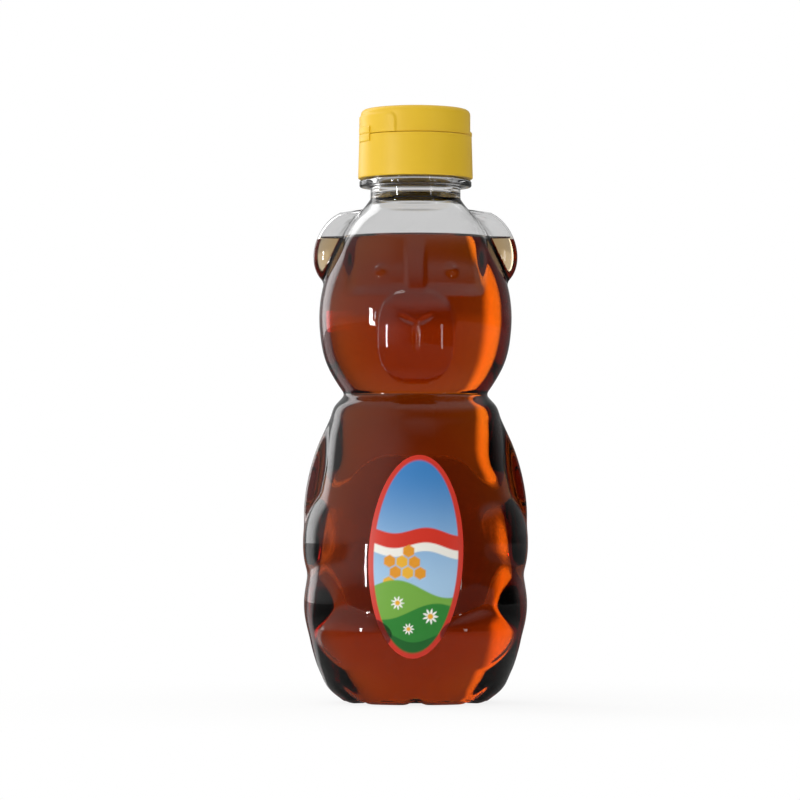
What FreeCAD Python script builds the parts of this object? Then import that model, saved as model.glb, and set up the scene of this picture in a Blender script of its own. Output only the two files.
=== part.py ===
import FreeCAD, Part
import os

import Sketcher

# A clear bear-shaped bottle of syrup with a screw cap whose lid flips open.
# Millimetres, +Z up. The neck's axis is the Z axis, the bottle stands on z = 0 and the bear faces -Y.

SIZES = {
    # Torso: rise of each round section above the one below it, and its half width
    "sole_half": 20.0,
    "heel_rise": 3.4, "heel_half": 24.4,
    "ankle_rise": 5.2, "ankle_half": 27.0,
    "haunch_rise": 7.0, "haunch_half": 29.0,
    "hip_rise": 16.4, "hip_half": 30.0,
    "belly_rise": 18.0, "belly_half": 28.8,
    "chest_rise": 16.0, "chest_half": 26.2,
    "shoulder_rise": 15.6, "shoulder_half": 24.4,
    "collar_rise": 6.4, "collar_half": 21.0,
    "throat_rise": 3.0, "throat_half": 19.4,
    "torso_flatness": 0.87,
    # Head: the same, from a nape that starts inside the torso
    "nape_drop": 3.0, "nape_half": 17.5,
    "jaw_rise": 6.0, "jaw_half": 22.0,
    "cheek_rise": 6.0, "cheek_half": 25.4,
    "face_rise": 10.0, "face_half": 27.6,
    "temple_rise": 12.0, "temple_half": 26.9,
    "brow_rise": 11.0, "brow_half": 22.9,
    "crown_rise": 9.0, "crown_half": 18.0,
    "dome_rise": 4.2, "dome_half": 14.4,
    "root_rise": 1.8, "root_half": 13.1,
    "head_flatness": 0.88,
    # Muzzle, nose and eyes: half sizes, and places on the face
    "muzzle_half": 12.0, "muzzle_depth": 7.0, "muzzle_tall": 12.5, "muzzle_proud": 3.3,
    "nose_half": 6.6, "nose_depth": 3.2, "nose_tall": 3.6, "nose_up": 5.5, "nose_back": 3.0,
    "eye_half": 2.6, "eye_depth": 3.0, "eye_out": 9.7, "eye_up": 6.2, "eye_back": 6.0,
    # Ears
    "ear_long": 11.6, "ear_thick": 8.6, "ear_deep": 4.2, "ear_tilt": 24.0, "ear_in": 6.6, "ear_up": 11.9,
    # Arms, forearms, paws, thighs and feet: half sizes, places in the torso, and the way they point
    "arm_long": 21.0, "arm_thick": 7.1, "arm_deep": 5.0, "arm_tilt": 13.0, "arm_in": 2.4, "arm_down": 2.0,
    "forearm_long": 11.0, "forearm_thick": 7.2, "forearm_tall": 5.8, "forearm_azimuth": -28.0,
    "forearm_in": 6.0, "forearm_front": 5.5, "forearm_up": 9.5,
    "paw_long": 5.5, "paw_thick": 6.4, "paw_tall": 4.8, "paw_azimuth": -43.0,
    "paw_in": 8.7, "paw_front": 13.2, "paw_up": 5.4,
    "thigh_long": 9.5, "thigh_thick": 6.8, "thigh_tall": 9.5, "thigh_azimuth": -5.0,
    "thigh_in": 5.0, "thigh_front": 1.0, "thigh_down": 5.0,
    "foot_long": 9.5, "foot_thick": 7.5, "foot_tall": 8.0, "foot_azimuth": -57.0,
    "foot_in": 13.4, "foot_front": 18.0, "foot_up": 5.8,
    # Oval label panels, raised from the torso at the front and the back
    "panel_half": 17.0, "panel_tall": 34.5, "panel_rise": 0.9, "panel_up": 10.0,
    # Walls and the pushed-up base
    "wall": 0.6, "floor": 0.8, "push_radius": 15.5, "push_rise": 5.0, "base_trim": 0.5,
    # Syrup
    "fill_up": 3.5, "film_gap": 0.08,
    # Stickers
    "label_half": 12.9, "label_tall": 29.0, "label_thickness": 0.12, "label_gap": 0.06,
    # Neck finish
    "neck_radius": 13.0, "neck_rise": 3.6, "neck_sink": 3.0, "bore_radius": 10.9,
    "ring_radius": 16.2, "ring_thickness": 1.9,
    "finish_radius": 12.45, "finish_tall": 10.6,
    "thread_depth": 1.2, "thread_root": 2.0, "thread_crest": 1.0,
    "thread_pitch": 4.2, "thread_turns": 1.1, "thread_up": 3.6, "thread_bite": 0.3,
    # Cap base
    "cap_radius": 16.25, "skirt_gap": 0.5, "thread_clearance": 0.45, "deck_thickness": 1.3,
    "cap_thread_turns": 1.0, "cap_thread_root": 1.8, "cap_thread_crest": 0.9,
    "snap_clearance": 0.3, "snap_wall": 1.0, "snap_rise": 1.1,
    "spout_root": 4.2, "spout_tip": 3.4, "spout_rise": 3.1, "orifice_radius": 2.4,
    # Sealing washer
    "washer_thickness": 0.9, "washer_inner": 9.5, "washer_clearance": 0.3,
    # Flip lid
    "lid_radius": 15.7, "lid_wall": 1.1, "lid_rise": 7.4, "lid_dome": 1.1, "lid_corner": 2.4,
    "seam_gap": 0.12, "pin_clearance": 0.3, "pin_depth": 1.0,
    "hinge_azimuth": 204.0, "hinge_panel_angle": 90.0, "hinge_panel_rise": 5.6,
    "lip_angle": 32.0, "lip_reach": 1.1, "lip_rise": 1.7,
    # Living hinge
    "hinge_offset": 0.35, "film_radius": 0.25, "film_clearance": 0.1, "strap_angle": 25.0,
    "leaf_gap": 0.03, "leaf_thickness": 0.37, "leaf_rise": 2.2,
}


def sections(start, first, names):
    """Height of each named section as an expression, each one its own rise above the last."""
    level = start
    found = {first: level}
    for name in names:
        level = f"{level} + sizes.{name}_rise"
        found[name] = level
    return found


TORSO = sections(
    "0", "sole", ("heel", "ankle", "haunch", "hip", "belly", "chest", "shoulder", "collar", "throat")
)
HEAD = sections(
    f"{TORSO['collar']} - sizes.nape_drop",
    "nape",
    ("jaw", "cheek", "face", "temple", "brow", "crown", "dome", "root"),
)
RING_BOTTOM = f"{HEAD['root']} + sizes.neck_rise"
RING_TOP = f"{RING_BOTTOM} + sizes.ring_thickness"
RIM = f"{RING_TOP} + sizes.finish_tall"
DECK_BOTTOM = f"{RIM} + sizes.washer_thickness"
SEAM = f"{DECK_BOTTOM} + sizes.deck_thickness"
LID_BOTTOM = f"{SEAM} + sizes.seam_gap"
LID_EDGE = f"{LID_BOTTOM} + sizes.lid_rise"
LID_TOP = f"{LID_EDGE} + sizes.lid_dome"
SKIRT_BOTTOM = f"{RING_TOP} + sizes.skirt_gap"
HINGE_LEVEL = f"{SEAM} + sizes.seam_gap / 2"
HINGE_OUT = "sizes.cap_radius + sizes.hinge_offset"
PANEL_CENTRE = f"{TORSO['hip']} + sizes.panel_up"
FILL_LEVEL = f"{HEAD['brow']} + sizes.fill_up"
THREAD_START = f"{RING_TOP} + sizes.thread_up"
SKIRT_INNER = "sizes.finish_radius + sizes.thread_depth + sizes.thread_clearance"
LID_INNER = "sizes.lid_radius - sizes.lid_wall"
PAST_THE_TORSO = "sizes.hip_half * 2"

FRONT = "-90"
# Where each form's own seam lies, clear of limbs, ears and panels and of the other form's seam
TORSO_SEAM = "135"
HEAD_SEAM = "225"

WALL = "sizes.wall"
SYRUP_INSET = "(sizes.wall + sizes.film_gap)"


def make_sheet(doc):
    """The driving sizes, one row each, under their own names."""
    sheet = doc.addObject("Spreadsheet::Sheet", "sizes")
    for row, (alias, value) in enumerate(SIZES.items(), start=1):
        sheet.set(f"A{row}", alias)
        sheet.set(f"B{row}", str(value))
        sheet.setAlias(f"B{row}", alias)
    doc.recompute()
    return sheet


def bind(thing, expressions):
    """Ties properties of a thing to expressions on the sheet."""
    for name, expression in expressions.items():
        thing.setExpression(name, expression)
    return thing


def place(thing, x="0", y="0", z="0", turn="rotationz(0)"):
    """Ties where a thing stands, and how it is turned, to expressions on the sheet."""
    return bind(thing, {"Placement": f"placement(vector({x}; {y}; {z}); {turn})"})


def joined(doc, kind, name, shapes):
    """Fuses shapes, or takes what they share."""
    thing = doc.addObject(kind, name)
    thing.Shapes = shapes
    return thing


def cut(doc, name, base, tool):
    """Takes one shape out of another."""
    thing = doc.addObject("Part::Cut", name)
    thing.Base = base
    thing.Tool = tool
    return thing


def mirrored(doc, thing):
    """The same form on the bear's other side."""
    twin = doc.addObject("Part::Mirroring", f"{thing.Name}_twin")
    twin.Source = thing
    twin.Normal = FreeCAD.Vector(1, 0, 0)
    return twin


def rounds(doc, name, levels, inset, lift, flatness, seam=TORSO_SEAM, shift="0"):
    """A closed form through a round section at each level, flattened in depth and shifted along Y."""
    rings = []
    for index, (section, level) in enumerate(levels.items()):
        ring = doc.addObject("Part::Circle", f"{name}_{section}")
        bind(ring, {"Radius": f"sizes.{section}_half - {inset}"})
        height = f"{level} + {lift}" if index == 0 else level
        place(ring, y=f"({shift}) / {flatness}", z=height, turn=f"rotationz({seam})")
        rings.append(ring)
    loft = doc.addObject("Part::Loft", f"{name}_loft")
    loft.Sections = rings
    loft.Solid = True
    form = doc.addObject("Part::Scale", name)
    form.Base = loft
    form.Uniform = False
    return bind(form, {"YScale": flatness})


def swelling(doc, name, half, inset, **where):
    """The outer half of an ellipsoid, whose flat side is buried in what it swells from.

    Its half sizes run along it, outwards, and across it, and are drawn in by the inset.
    """
    thing = doc.addObject("Part::Ellipsoid", name)
    thing.Angle3 = 180
    along, outwards, across = (f"sizes.{size} - {inset}" for size in half)
    bind(thing, {"Radius2": along, "Radius3": outwards, "Radius1": across})
    return place(thing, **where)


def facing(azimuth):
    """Turn of an upright swelling that points out of the bear at an azimuth."""
    return f"rotationz({azimuth} - 90)"


def leaning(tilt):
    """Turn of a swelling that lies up the bear's side and leans in at its top."""
    return f"rotationy(-90 - {tilt}) * rotationx(-90)"


def oval_bar(doc, name, half, tall, inset, side, reach, **where):
    """An upright oval, pushed out along Y from the bear's middle plane."""
    oval = doc.addObject("Part::Ellipse", f"{name}_oval")
    bind(oval, {"MajorRadius": f"{tall} - {inset}", "MinorRadius": f"{half} - {inset}"})
    place(oval, turn="rotationy(-90) * rotationx(-90)", **where)
    bar = doc.addObject("Part::Extrusion", name)
    bar.Base = oval
    bar.DirMode = "Custom"
    bar.Dir = FreeCAD.Vector(0, side, 0)
    bar.Solid = True
    return bind(bar, {"LengthFwd": reach})


SIDES = {"front": -1, "back": 1}


def label_panel(doc, name, inset, lift, side):
    """Oval panel that stands proud of the torso and follows its curve."""
    shift = f"{side} * sizes.panel_rise"
    skin = rounds(doc, f"{name}_skin", TORSO, inset, lift, "sizes.torso_flatness", shift=shift)
    bar = oval_bar(
        doc, f"{name}_bar", "sizes.panel_half", "sizes.panel_tall", inset, side, PAST_THE_TORSO,
        z=PANEL_CENTRE,
    )
    return joined(doc, "Part::MultiCommon", name, [skin, bar])


def bear(doc, name, inset, lift):
    """The whole bear below the neck as one form, drawn in by the inset from its outer face."""
    face_front = "sizes.face_half * sizes.head_flatness"
    torso = rounds(doc, f"{name}_torso", TORSO, inset, lift, "sizes.torso_flatness")
    head = rounds(doc, f"{name}_head", HEAD, inset, "0", "sizes.head_flatness", HEAD_SEAM)
    muzzle = swelling(
        doc, f"{name}_muzzle", ("muzzle_half", "muzzle_depth", "muzzle_tall"), inset,
        y=f"sizes.muzzle_depth - {face_front} - sizes.muzzle_proud", z=HEAD["face"], turn=facing(FRONT),
    )
    nose = swelling(
        doc, f"{name}_nose", ("nose_half", "nose_depth", "nose_tall"), inset,
        y=f"sizes.nose_back - {face_front} - sizes.muzzle_proud",
        z=f"{HEAD['face']} + sizes.nose_up", turn=facing(FRONT),
    )
    one_side = [
        swelling(
            doc, f"{name}_eye", ("eye_half", "eye_depth", "eye_half"), inset,
            x="sizes.eye_out", y=f"sizes.eye_back - {face_front}",
            z=f"{HEAD['temple']} + sizes.eye_up", turn=facing(FRONT),
        ),
        swelling(
            doc, f"{name}_ear", ("ear_long", "ear_thick", "ear_deep"), inset,
            x="sizes.temple_half - sizes.ear_in", z=f"{HEAD['temple']} + sizes.ear_up",
            turn=leaning("sizes.ear_tilt"),
        ),
        swelling(
            doc, f"{name}_arm", ("arm_long", "arm_thick", "arm_deep"), inset,
            x="sizes.chest_half - sizes.arm_in", z=f"{TORSO['chest']} - sizes.arm_down",
            turn=leaning("sizes.arm_tilt"),
        ),
    ]
    for limb, beside, level in (
        ("forearm", "hip", f"{TORSO['hip']} + sizes.forearm_up"),
        ("paw", "hip", f"{TORSO['hip']} + sizes.paw_up"),
        ("thigh", "hip", f"{TORSO['hip']} - sizes.thigh_down"),
        ("foot", "haunch", f"{TORSO['haunch']} + sizes.foot_up"),
    ):
        one_side.append(swelling(
            doc, f"{name}_{limb}", (f"{limb}_long", f"{limb}_thick", f"{limb}_tall"), inset,
            x=f"sizes.{beside}_half - sizes.{limb}_in", y=f"-sizes.{limb}_front", z=level,
            turn=facing(f"sizes.{limb}_azimuth"),
        ))
    panels = [
        label_panel(doc, f"{name}_{place_name}_panel", inset, lift, side)
        for place_name, side in SIDES.items()
    ]
    other_side = [mirrored(doc, thing) for thing in one_side]
    return joined(
        doc, "Part::MultiFuse", name, [torso, head, muzzle, nose, *one_side, *other_side, *panels]
    )


def push_up(doc, name, growth):
    """The domed hollow under the base, grown by a thickness."""
    dome = doc.addObject("Part::Ellipsoid", name)
    return bind(dome, {
        "Radius1": f"sizes.push_rise + {growth}",
        "Radius2": f"sizes.push_radius + {growth}",
        "Radius3": f"(sizes.push_radius + {growth}) * sizes.torso_flatness",
    })


def profile(body, name, points):
    """Sketch of a closed outline on the body's XZ plane, each corner tied to a radius and a height.

    A corner may carry a third expression: the radius of the arc, bulging upwards, that reaches it.
    """
    sketch = body.newObject("Sketcher::SketchObject", name)
    plane = next(f for f in body.Origin.OriginFeatures if f.Role == "XZ_Plane")
    sketch.AttachmentSupport = [(plane, "")]
    sketch.MapMode = "FlatFace"
    sheet = body.Document.getObject("sizes")
    spots = [
        FreeCAD.Vector(float(sheet.evalExpression(out)), float(sheet.evalExpression(up)), 0)
        for out, up, *_ in points
    ]
    count = len(points)
    for index, corner in enumerate(points):
        start, end = spots[index - 1], spots[index]
        if len(corner) == 3:
            size = float(sheet.evalExpression(corner[2]))
            middle = start.add(end).multiply(0.5)
            chord = end.sub(start)
            up = FreeCAD.Vector(-chord.y, chord.x, 0).normalize()
            up = up if up.y > 0 else up.negative()
            bulge = size - (size**2 - (chord.Length / 2) ** 2) ** 0.5
            sketch.addGeometry(Part.Arc(start, middle.add(up.multiply(bulge)), end))
        else:
            sketch.addGeometry(Part.LineSegment(start, end))
    ends = []
    for index, corner in enumerate(points):
        edge = sketch.Geometry[index]
        swapped = edge.EndPoint.distanceToPoint(spots[index]) > edge.StartPoint.distanceToPoint(spots[index])
        ends.append((2, 1) if swapped else (1, 2))
    for index, corner in enumerate(points):
        following = (index + 1) % count
        finish = ends[index][1]
        sketch.addConstraint(Sketcher.Constraint("Coincident", index, finish, following, ends[following][0]))
        if corner[0] == "0":
            sketch.addConstraint(Sketcher.Constraint("PointOnObject", index, finish, -2))
        else:
            tie(sketch, Sketcher.Constraint("DistanceX", -1, 1, index, finish, spots[index].x), corner[0])
        tie(sketch, Sketcher.Constraint("DistanceY", -1, 1, index, finish, spots[index].y), corner[1])
        if len(corner) == 3:
            tie(sketch, Sketcher.Constraint("Radius", index, sketch.Geometry[index].Radius), corner[2])
    return sketch


def tie(sketch, constraint, expression):
    """Adds a constraint whose value follows an expression."""
    number = sketch.addConstraint(constraint)
    sketch.setExpression(f"Constraints[{number}]", expression)


def revolved(body, name, points):
    """Turns an outline about the neck's axis."""
    sketch = profile(body, f"{name}_outline", points)
    turn = body.newObject("PartDesign::Revolution", name)
    turn.Profile = sketch
    turn.ReferenceAxis = (sketch, ["V_Axis"])
    return turn


def thread(body, name, root, crest, middle, root_width, crest_width, turns):
    """A ridge wound round the neck's axis, from its root radius to its crest."""
    corners = [
        (root, f"{middle} - {root_width} / 2"),
        (crest, f"{middle} - {crest_width} / 2"),
        (crest, f"{middle} + {crest_width} / 2"),
        (root, f"{middle} + {root_width} / 2"),
    ]
    sketch = profile(body, f"{name}_outline", corners)
    ridge = body.newObject("PartDesign::AdditiveHelix", name)
    ridge.Profile = sketch
    ridge.ReferenceAxis = (sketch, ["V_Axis"])
    ridge.Mode = "pitch-turns-angle"
    return bind(ridge, {"Pitch": "sizes.thread_pitch", "Turns": turns})


def sector(doc, name, inner, outer, bottom, rise, azimuth, spread):
    """A piece of a tube about the neck's axis, centred on an azimuth."""
    solids = []
    for part, radius in (("outer", outer), ("inner", inner)):
        solid = doc.addObject("Part::Cylinder", f"{name}_{part}")
        bind(solid, {"Radius": radius, "Height": rise, "Angle": spread})
        solids.append(place(solid, z=bottom, turn=f"rotationz({azimuth} - {spread} / 2)"))
    return cut(doc, name, *solids)


def make_bottle(doc):
    """Clear bottle: the hollow bear, its pushed-up base, and the neck with ring and thread."""
    finish = doc.addObject("PartDesign::Body", "neck_finish")
    revolved(finish, "neck_turn", [
        ("0", f"{HEAD['root']} - sizes.neck_sink"),
        ("sizes.neck_radius", f"{HEAD['root']} - sizes.neck_sink"),
        ("sizes.neck_radius", RING_BOTTOM),
        ("sizes.ring_radius", RING_BOTTOM),
        ("sizes.ring_radius", RING_TOP),
        ("sizes.finish_radius", RING_TOP),
        ("sizes.finish_radius", RIM),
        ("0", RIM),
    ])
    thread(
        finish, "neck_thread", "sizes.finish_radius - sizes.thread_bite",
        "sizes.finish_radius + sizes.thread_depth", THREAD_START,
        "sizes.thread_root", "sizes.thread_crest", "sizes.thread_turns",
    )
    outside = bear(doc, "outside", "0", "-sizes.base_trim")
    solid = joined(doc, "Part::MultiFuse", "outside_with_neck", [outside, finish])
    below = doc.addObject("Part::Cylinder", "below_standing_face")
    bind(below, {"Radius": PAST_THE_TORSO, "Height": "sizes.base_trim * 2"})
    place(below, z="-sizes.base_trim * 2")
    trimmed = cut(doc, "outside_trimmed", solid, below)
    footed = cut(doc, "outside_on_base", trimmed, push_up(doc, "push_up", "0"))

    inside = bear(doc, "inside", WALL, "sizes.floor")
    raised = cut(doc, "inside_on_base", inside, push_up(doc, "push_up_inside", "sizes.floor"))
    bore = doc.addObject("Part::Cylinder", "bore")
    bind(bore, {"Radius": "sizes.bore_radius", "Height": f"{RIM} - ({HEAD['crown']}) + sizes.floor"})
    place(bore, z=HEAD["crown"])
    hollow = joined(doc, "Part::MultiFuse", "hollow", [raised, bore])
    return cut(doc, "bottle_shell", footed, hollow)


def make_syrup(doc):
    """Syrup that fills the bear up to just above the brow, a film's width clear of the wall."""
    form = bear(doc, "syrup_form", SYRUP_INSET, "sizes.floor + sizes.film_gap")
    raised = cut(
        doc, "syrup_on_base", form, push_up(doc, "push_up_syrup", "(sizes.floor + sizes.film_gap)")
    )
    below = doc.addObject("Part::Cylinder", "below_fill")
    bind(below, {"Radius": PAST_THE_TORSO, "Height": FILL_LEVEL})
    return joined(doc, "Part::MultiCommon", "syrup_fill", [raised, below])


def make_label(doc, place_name, side):
    """Thin oval sticker that lies on a label panel."""
    name = f"{place_name}_label"
    laid = f"{side} * (sizes.panel_rise + sizes.label_gap)"
    faced = f"{side} * (sizes.panel_rise + sizes.label_gap + sizes.label_thickness)"
    top = rounds(doc, f"{name}_face", TORSO, "0", "0", "sizes.torso_flatness", shift=faced)
    under = rounds(doc, f"{name}_under", TORSO, "0", "0", "sizes.torso_flatness", shift=laid)
    bar = oval_bar(
        doc, f"{name}_bar", "sizes.label_half", "sizes.label_tall", "0", side, PAST_THE_TORSO,
        z=PANEL_CENTRE,
    )
    piece = joined(doc, "Part::MultiCommon", f"{name}_piece", [top, bar])
    return cut(doc, name, piece, under)


def make_washer(doc):
    """Flat sealing washer between the rim and the cap's deck."""
    inner_and_outer = []
    for part, radius in (
        ("outer", f"{SKIRT_INNER} - sizes.washer_clearance"), ("inner", "sizes.washer_inner"),
    ):
        disc = doc.addObject("Part::Cylinder", f"washer_{part}")
        bind(disc, {"Radius": radius, "Height": "sizes.washer_thickness"})
        inner_and_outer.append(place(disc, z=RIM))
    return cut(doc, "seal_washer", *inner_and_outer)


def make_cap_base(doc):
    """Cap base: threaded skirt, deck with a snap rim, and the spout."""
    body = doc.addObject("PartDesign::Body", "cap_base")
    snap_outer = f"{LID_INNER} - sizes.snap_clearance"
    snap_inner = f"{snap_outer} - sizes.snap_wall"
    snap_top = f"{SEAM} + sizes.snap_rise"
    spout_top = f"{SEAM} + sizes.spout_rise"
    revolved(body, "cap_turn", [
        ("sizes.orifice_radius", DECK_BOTTOM),
        (SKIRT_INNER, DECK_BOTTOM),
        (SKIRT_INNER, SKIRT_BOTTOM),
        ("sizes.cap_radius", SKIRT_BOTTOM),
        ("sizes.cap_radius", SEAM),
        (snap_outer, SEAM),
        (snap_outer, snap_top),
        (snap_inner, snap_top),
        (snap_inner, SEAM),
        ("sizes.spout_root", SEAM),
        ("sizes.spout_tip", spout_top),
        ("sizes.orifice_radius", spout_top),
    ])
    thread(
        body, "cap_thread", f"{SKIRT_INNER} + sizes.thread_bite",
        "sizes.finish_radius + sizes.thread_clearance", f"{THREAD_START} - sizes.thread_pitch / 2",
        "sizes.cap_thread_root", "sizes.cap_thread_crest", "sizes.cap_thread_turns",
    )
    return body


def make_lid(doc):
    """Flip lid: domed shell with a plug pin, a raised panel at the hinge and a lip for the thumb."""
    body = doc.addObject("PartDesign::Body", "lid_shell")
    pin = "sizes.orifice_radius - sizes.pin_clearance"
    pin_bottom = f"{SEAM} + sizes.spout_rise - sizes.pin_depth"
    dome_radius = "(sizes.lid_radius ^ 2 + sizes.lid_dome ^ 2) / (2 * sizes.lid_dome)"
    shell = revolved(body, "lid_turn", [
        ("0", pin_bottom),
        (pin, pin_bottom),
        (pin, f"{LID_TOP} - sizes.lid_wall - sizes.lid_dome / 2"),
        (f"{LID_INNER} - sizes.lid_corner / 2", f"{LID_EDGE} - sizes.lid_wall"),
        (LID_INNER, f"{LID_EDGE} - sizes.lid_corner / 2 - sizes.lid_wall"),
        (LID_INNER, LID_BOTTOM),
        ("sizes.lid_radius", LID_BOTTOM),
        ("sizes.lid_radius", LID_EDGE),
        ("0", LID_TOP, dome_radius),
    ])
    doc.recompute()
    lid_radius = doc.getObject("sizes").get("lid_radius")
    top_edge = max(
        (
            (edge.CenterOfMass.z, f"Edge{number}")
            for number, edge in enumerate(shell.Shape.Edges, start=1)
            if abs(edge.BoundBox.XMax - lid_radius) < 0.01 and edge.BoundBox.ZLength < 0.01
        )
    )
    corner = body.newObject("PartDesign::Fillet", "lid_corner_round")
    corner.Base = (shell, [top_edge[1]])
    bind(corner, {"Radius": "sizes.lid_corner"})
    panel = sector(
        doc, "hinge_panel", f"{LID_INNER} + sizes.lid_wall / 2", "sizes.cap_radius", LID_BOTTOM,
        "sizes.hinge_panel_rise", "sizes.hinge_azimuth", "sizes.hinge_panel_angle",
    )
    lip = sector(
        doc, "thumb_lip", f"{LID_INNER} + sizes.lid_wall / 2", "sizes.lid_radius + sizes.lip_reach",
        LID_BOTTOM, "sizes.lip_rise", "sizes.hinge_azimuth + 180", "sizes.lip_angle",
    )
    return joined(doc, "Part::MultiFuse", "flip_lid", [body, panel, lip])


def make_hinge(doc):
    """Living hinge: a round film on the hinge line with a leaf down the cap, and a leaf up the lid."""
    inner = "sizes.cap_radius + sizes.leaf_gap"
    outer = f"{inner} + sizes.leaf_thickness"
    film = doc.addObject("Part::Cylinder", "film_roll")
    half_width = f"({HINGE_OUT}) * sin(sizes.strap_angle * 1deg / 2)"
    bind(film, {"Radius": "sizes.film_radius", "Height": f"2 * {half_width}"})
    turn = "sizes.hinge_azimuth * 1deg"
    place(
        film,
        x=f"({HINGE_OUT}) * cos({turn}) - {half_width} * sin({turn})",
        y=f"({HINGE_OUT}) * sin({turn}) + {half_width} * cos({turn})",
        z=HINGE_LEVEL,
        turn="rotationz(sizes.hinge_azimuth) * rotationx(90)",
    )
    leaf = sector(
        doc, "base_leaf", inner, outer, f"{HINGE_LEVEL} - sizes.leaf_rise", "sizes.leaf_rise",
        "sizes.hinge_azimuth", "sizes.strap_angle",
    )
    joined(doc, "Part::MultiFuse", "hinge_film", [film, leaf])
    start = f"{HINGE_LEVEL} + sizes.film_radius + sizes.film_clearance"
    sector(
        doc, "hinge_lid_leaf", inner, outer, start, "sizes.leaf_rise",
        "sizes.hinge_azimuth", "sizes.strap_angle",
    )


PARTS = (
    "bottle_shell", "syrup_fill", "front_label", "back_label", "seal_washer", "cap_base", "flip_lid",
    "hinge_film", "hinge_lid_leaf",
)


def check(doc):
    """Stops if any object failed, or if a sub-part has no sound shape."""
    for thing in doc.Objects:
        if "Invalid" in thing.State or "Error" in thing.State:
            raise RuntimeError(f"{thing.Name} failed: {thing.State}")
    for name in PARTS:
        shape = doc.getObject(name).Shape
        if shape.isNull() or not shape.isValid():
            raise RuntimeError(f"{name} has no sound shape")
        box = shape.BoundBox
        print(
            f"{name}: {len(shape.Solids)} solid, {shape.Volume:.1f} mm3, x {box.XMin:.2f} {box.XMax:.2f}, "
            f"y {box.YMin:.2f} {box.YMax:.2f}, z {box.ZMin:.2f} {box.ZMax:.2f}"
        )


def main():
    """Builds the document, checks it and writes each sub-part."""
    doc = FreeCAD.newDocument("honey_bear_bottle")
    make_sheet(doc)
    make_bottle(doc)
    make_syrup(doc)
    for place_name, side in SIDES.items():
        make_label(doc, place_name, side)
    make_washer(doc)
    make_cap_base(doc)
    make_lid(doc)
    make_hinge(doc)
    doc.recompute()
    check(doc)
    os.makedirs("parts", exist_ok=True)
    for name in PARTS:
        thing = doc.getObject(name)
        thing.Label = name
        thing.Shape.exportStep(f"parts/{thing.Label}.step")


main()
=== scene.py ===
"""Honey bear bottle: clear bear-shaped bottle of syrup, oval stickers and a yellow flip-top screw cap.

Sizes are in millimetres unless a name says otherwise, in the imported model's frame: +Z is up and the bear
faces -Y.
"""
import logging
import math
from collections.abc import Callable, Sequence
from dataclasses import dataclass
from enum import Enum

import bmesh
import bpy
import numpy as np
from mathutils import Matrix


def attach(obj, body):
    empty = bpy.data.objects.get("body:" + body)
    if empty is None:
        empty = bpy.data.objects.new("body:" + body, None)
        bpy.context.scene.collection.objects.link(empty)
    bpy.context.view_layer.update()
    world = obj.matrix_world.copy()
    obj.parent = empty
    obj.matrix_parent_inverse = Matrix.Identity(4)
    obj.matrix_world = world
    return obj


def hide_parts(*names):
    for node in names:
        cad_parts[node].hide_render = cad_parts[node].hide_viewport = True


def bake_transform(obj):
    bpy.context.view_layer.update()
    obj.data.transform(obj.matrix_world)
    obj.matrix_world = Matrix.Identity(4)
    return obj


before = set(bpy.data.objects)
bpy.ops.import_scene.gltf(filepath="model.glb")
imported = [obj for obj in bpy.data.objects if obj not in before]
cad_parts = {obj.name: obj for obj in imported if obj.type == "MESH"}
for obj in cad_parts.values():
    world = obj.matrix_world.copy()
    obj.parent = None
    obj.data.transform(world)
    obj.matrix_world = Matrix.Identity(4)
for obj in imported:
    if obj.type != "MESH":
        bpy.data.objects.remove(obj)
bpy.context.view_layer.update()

MM = 0.001
LOG = logging.getLogger("honey_bear")

Pair = tuple[float, float]
Triple = tuple[float, float, float]
Value = float | bpy.types.NodeSocket


class Body(Enum):
    """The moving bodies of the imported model."""

    BOTTLE = "bottle"
    WASHER = "washer"
    CAP = "cap"
    LID = "lid"


class Slot(Enum):
    """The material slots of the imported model."""

    PET = "clear_pet"
    SYRUP = "amber_syrup"
    FILM = "printed_film"
    FOAM = "foam_liner"
    CAP = "yellow_cap"


class Side(Enum):
    """Where a sticker lies: the sign of its Y direction."""

    FRONT = -1
    BACK = 1


def linear(code: str) -> tuple[float, float, float, float]:
    """Turns an sRGB hex colour into linear colour.

    Args:
        code: Six hex digits after a hash sign.

    Returns:
        Red, green, blue and an alpha of one.
    """
    parts = [int(code[at:at + 2], 16) / 255 for at in (1, 3, 5)]
    red, green, blue = (
        part / 12.92 if part <= 0.04045 else ((part + 0.055) / 1.055) ** 2.4 for part in parts
    )
    return red, green, blue, 1.0


def add_node(tree: bpy.types.NodeTree, kind: str, inputs: dict | None = None, **settings) -> bpy.types.Node:
    """Adds a node with its settings, its input values and its incoming links.

    Args:
        tree: Tree that gets the node.
        kind: Blender's name for the node type.
        inputs: Value, or output socket to link from, for each input by name or number.
        settings: Properties of the node itself.

    Returns:
        The new node.
    """
    node = tree.nodes.new(kind)
    for name, value in settings.items():
        setattr(node, name, value)
    for key, value in (inputs or {}).items():
        if isinstance(value, bpy.types.NodeSocket):
            tree.links.new(value, node.inputs[key])
        else:
            node.inputs[key].default_value = value
    return node


def reckon(
    tree: bpy.types.NodeTree, operation: str, first: Value, second: Value, **settings
) -> bpy.types.NodeSocket:
    """Works out one value from two.

    Args:
        tree: Tree that gets the node.
        operation: Blender's name for the operation.
        first: Number or socket.
        second: Number or socket.
        settings: Properties of the node itself.

    Returns:
        The socket with the result.
    """
    node = add_node(tree, "ShaderNodeMath", {0: first, 1: second}, operation=operation, **settings)
    return node.outputs[0]


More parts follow.
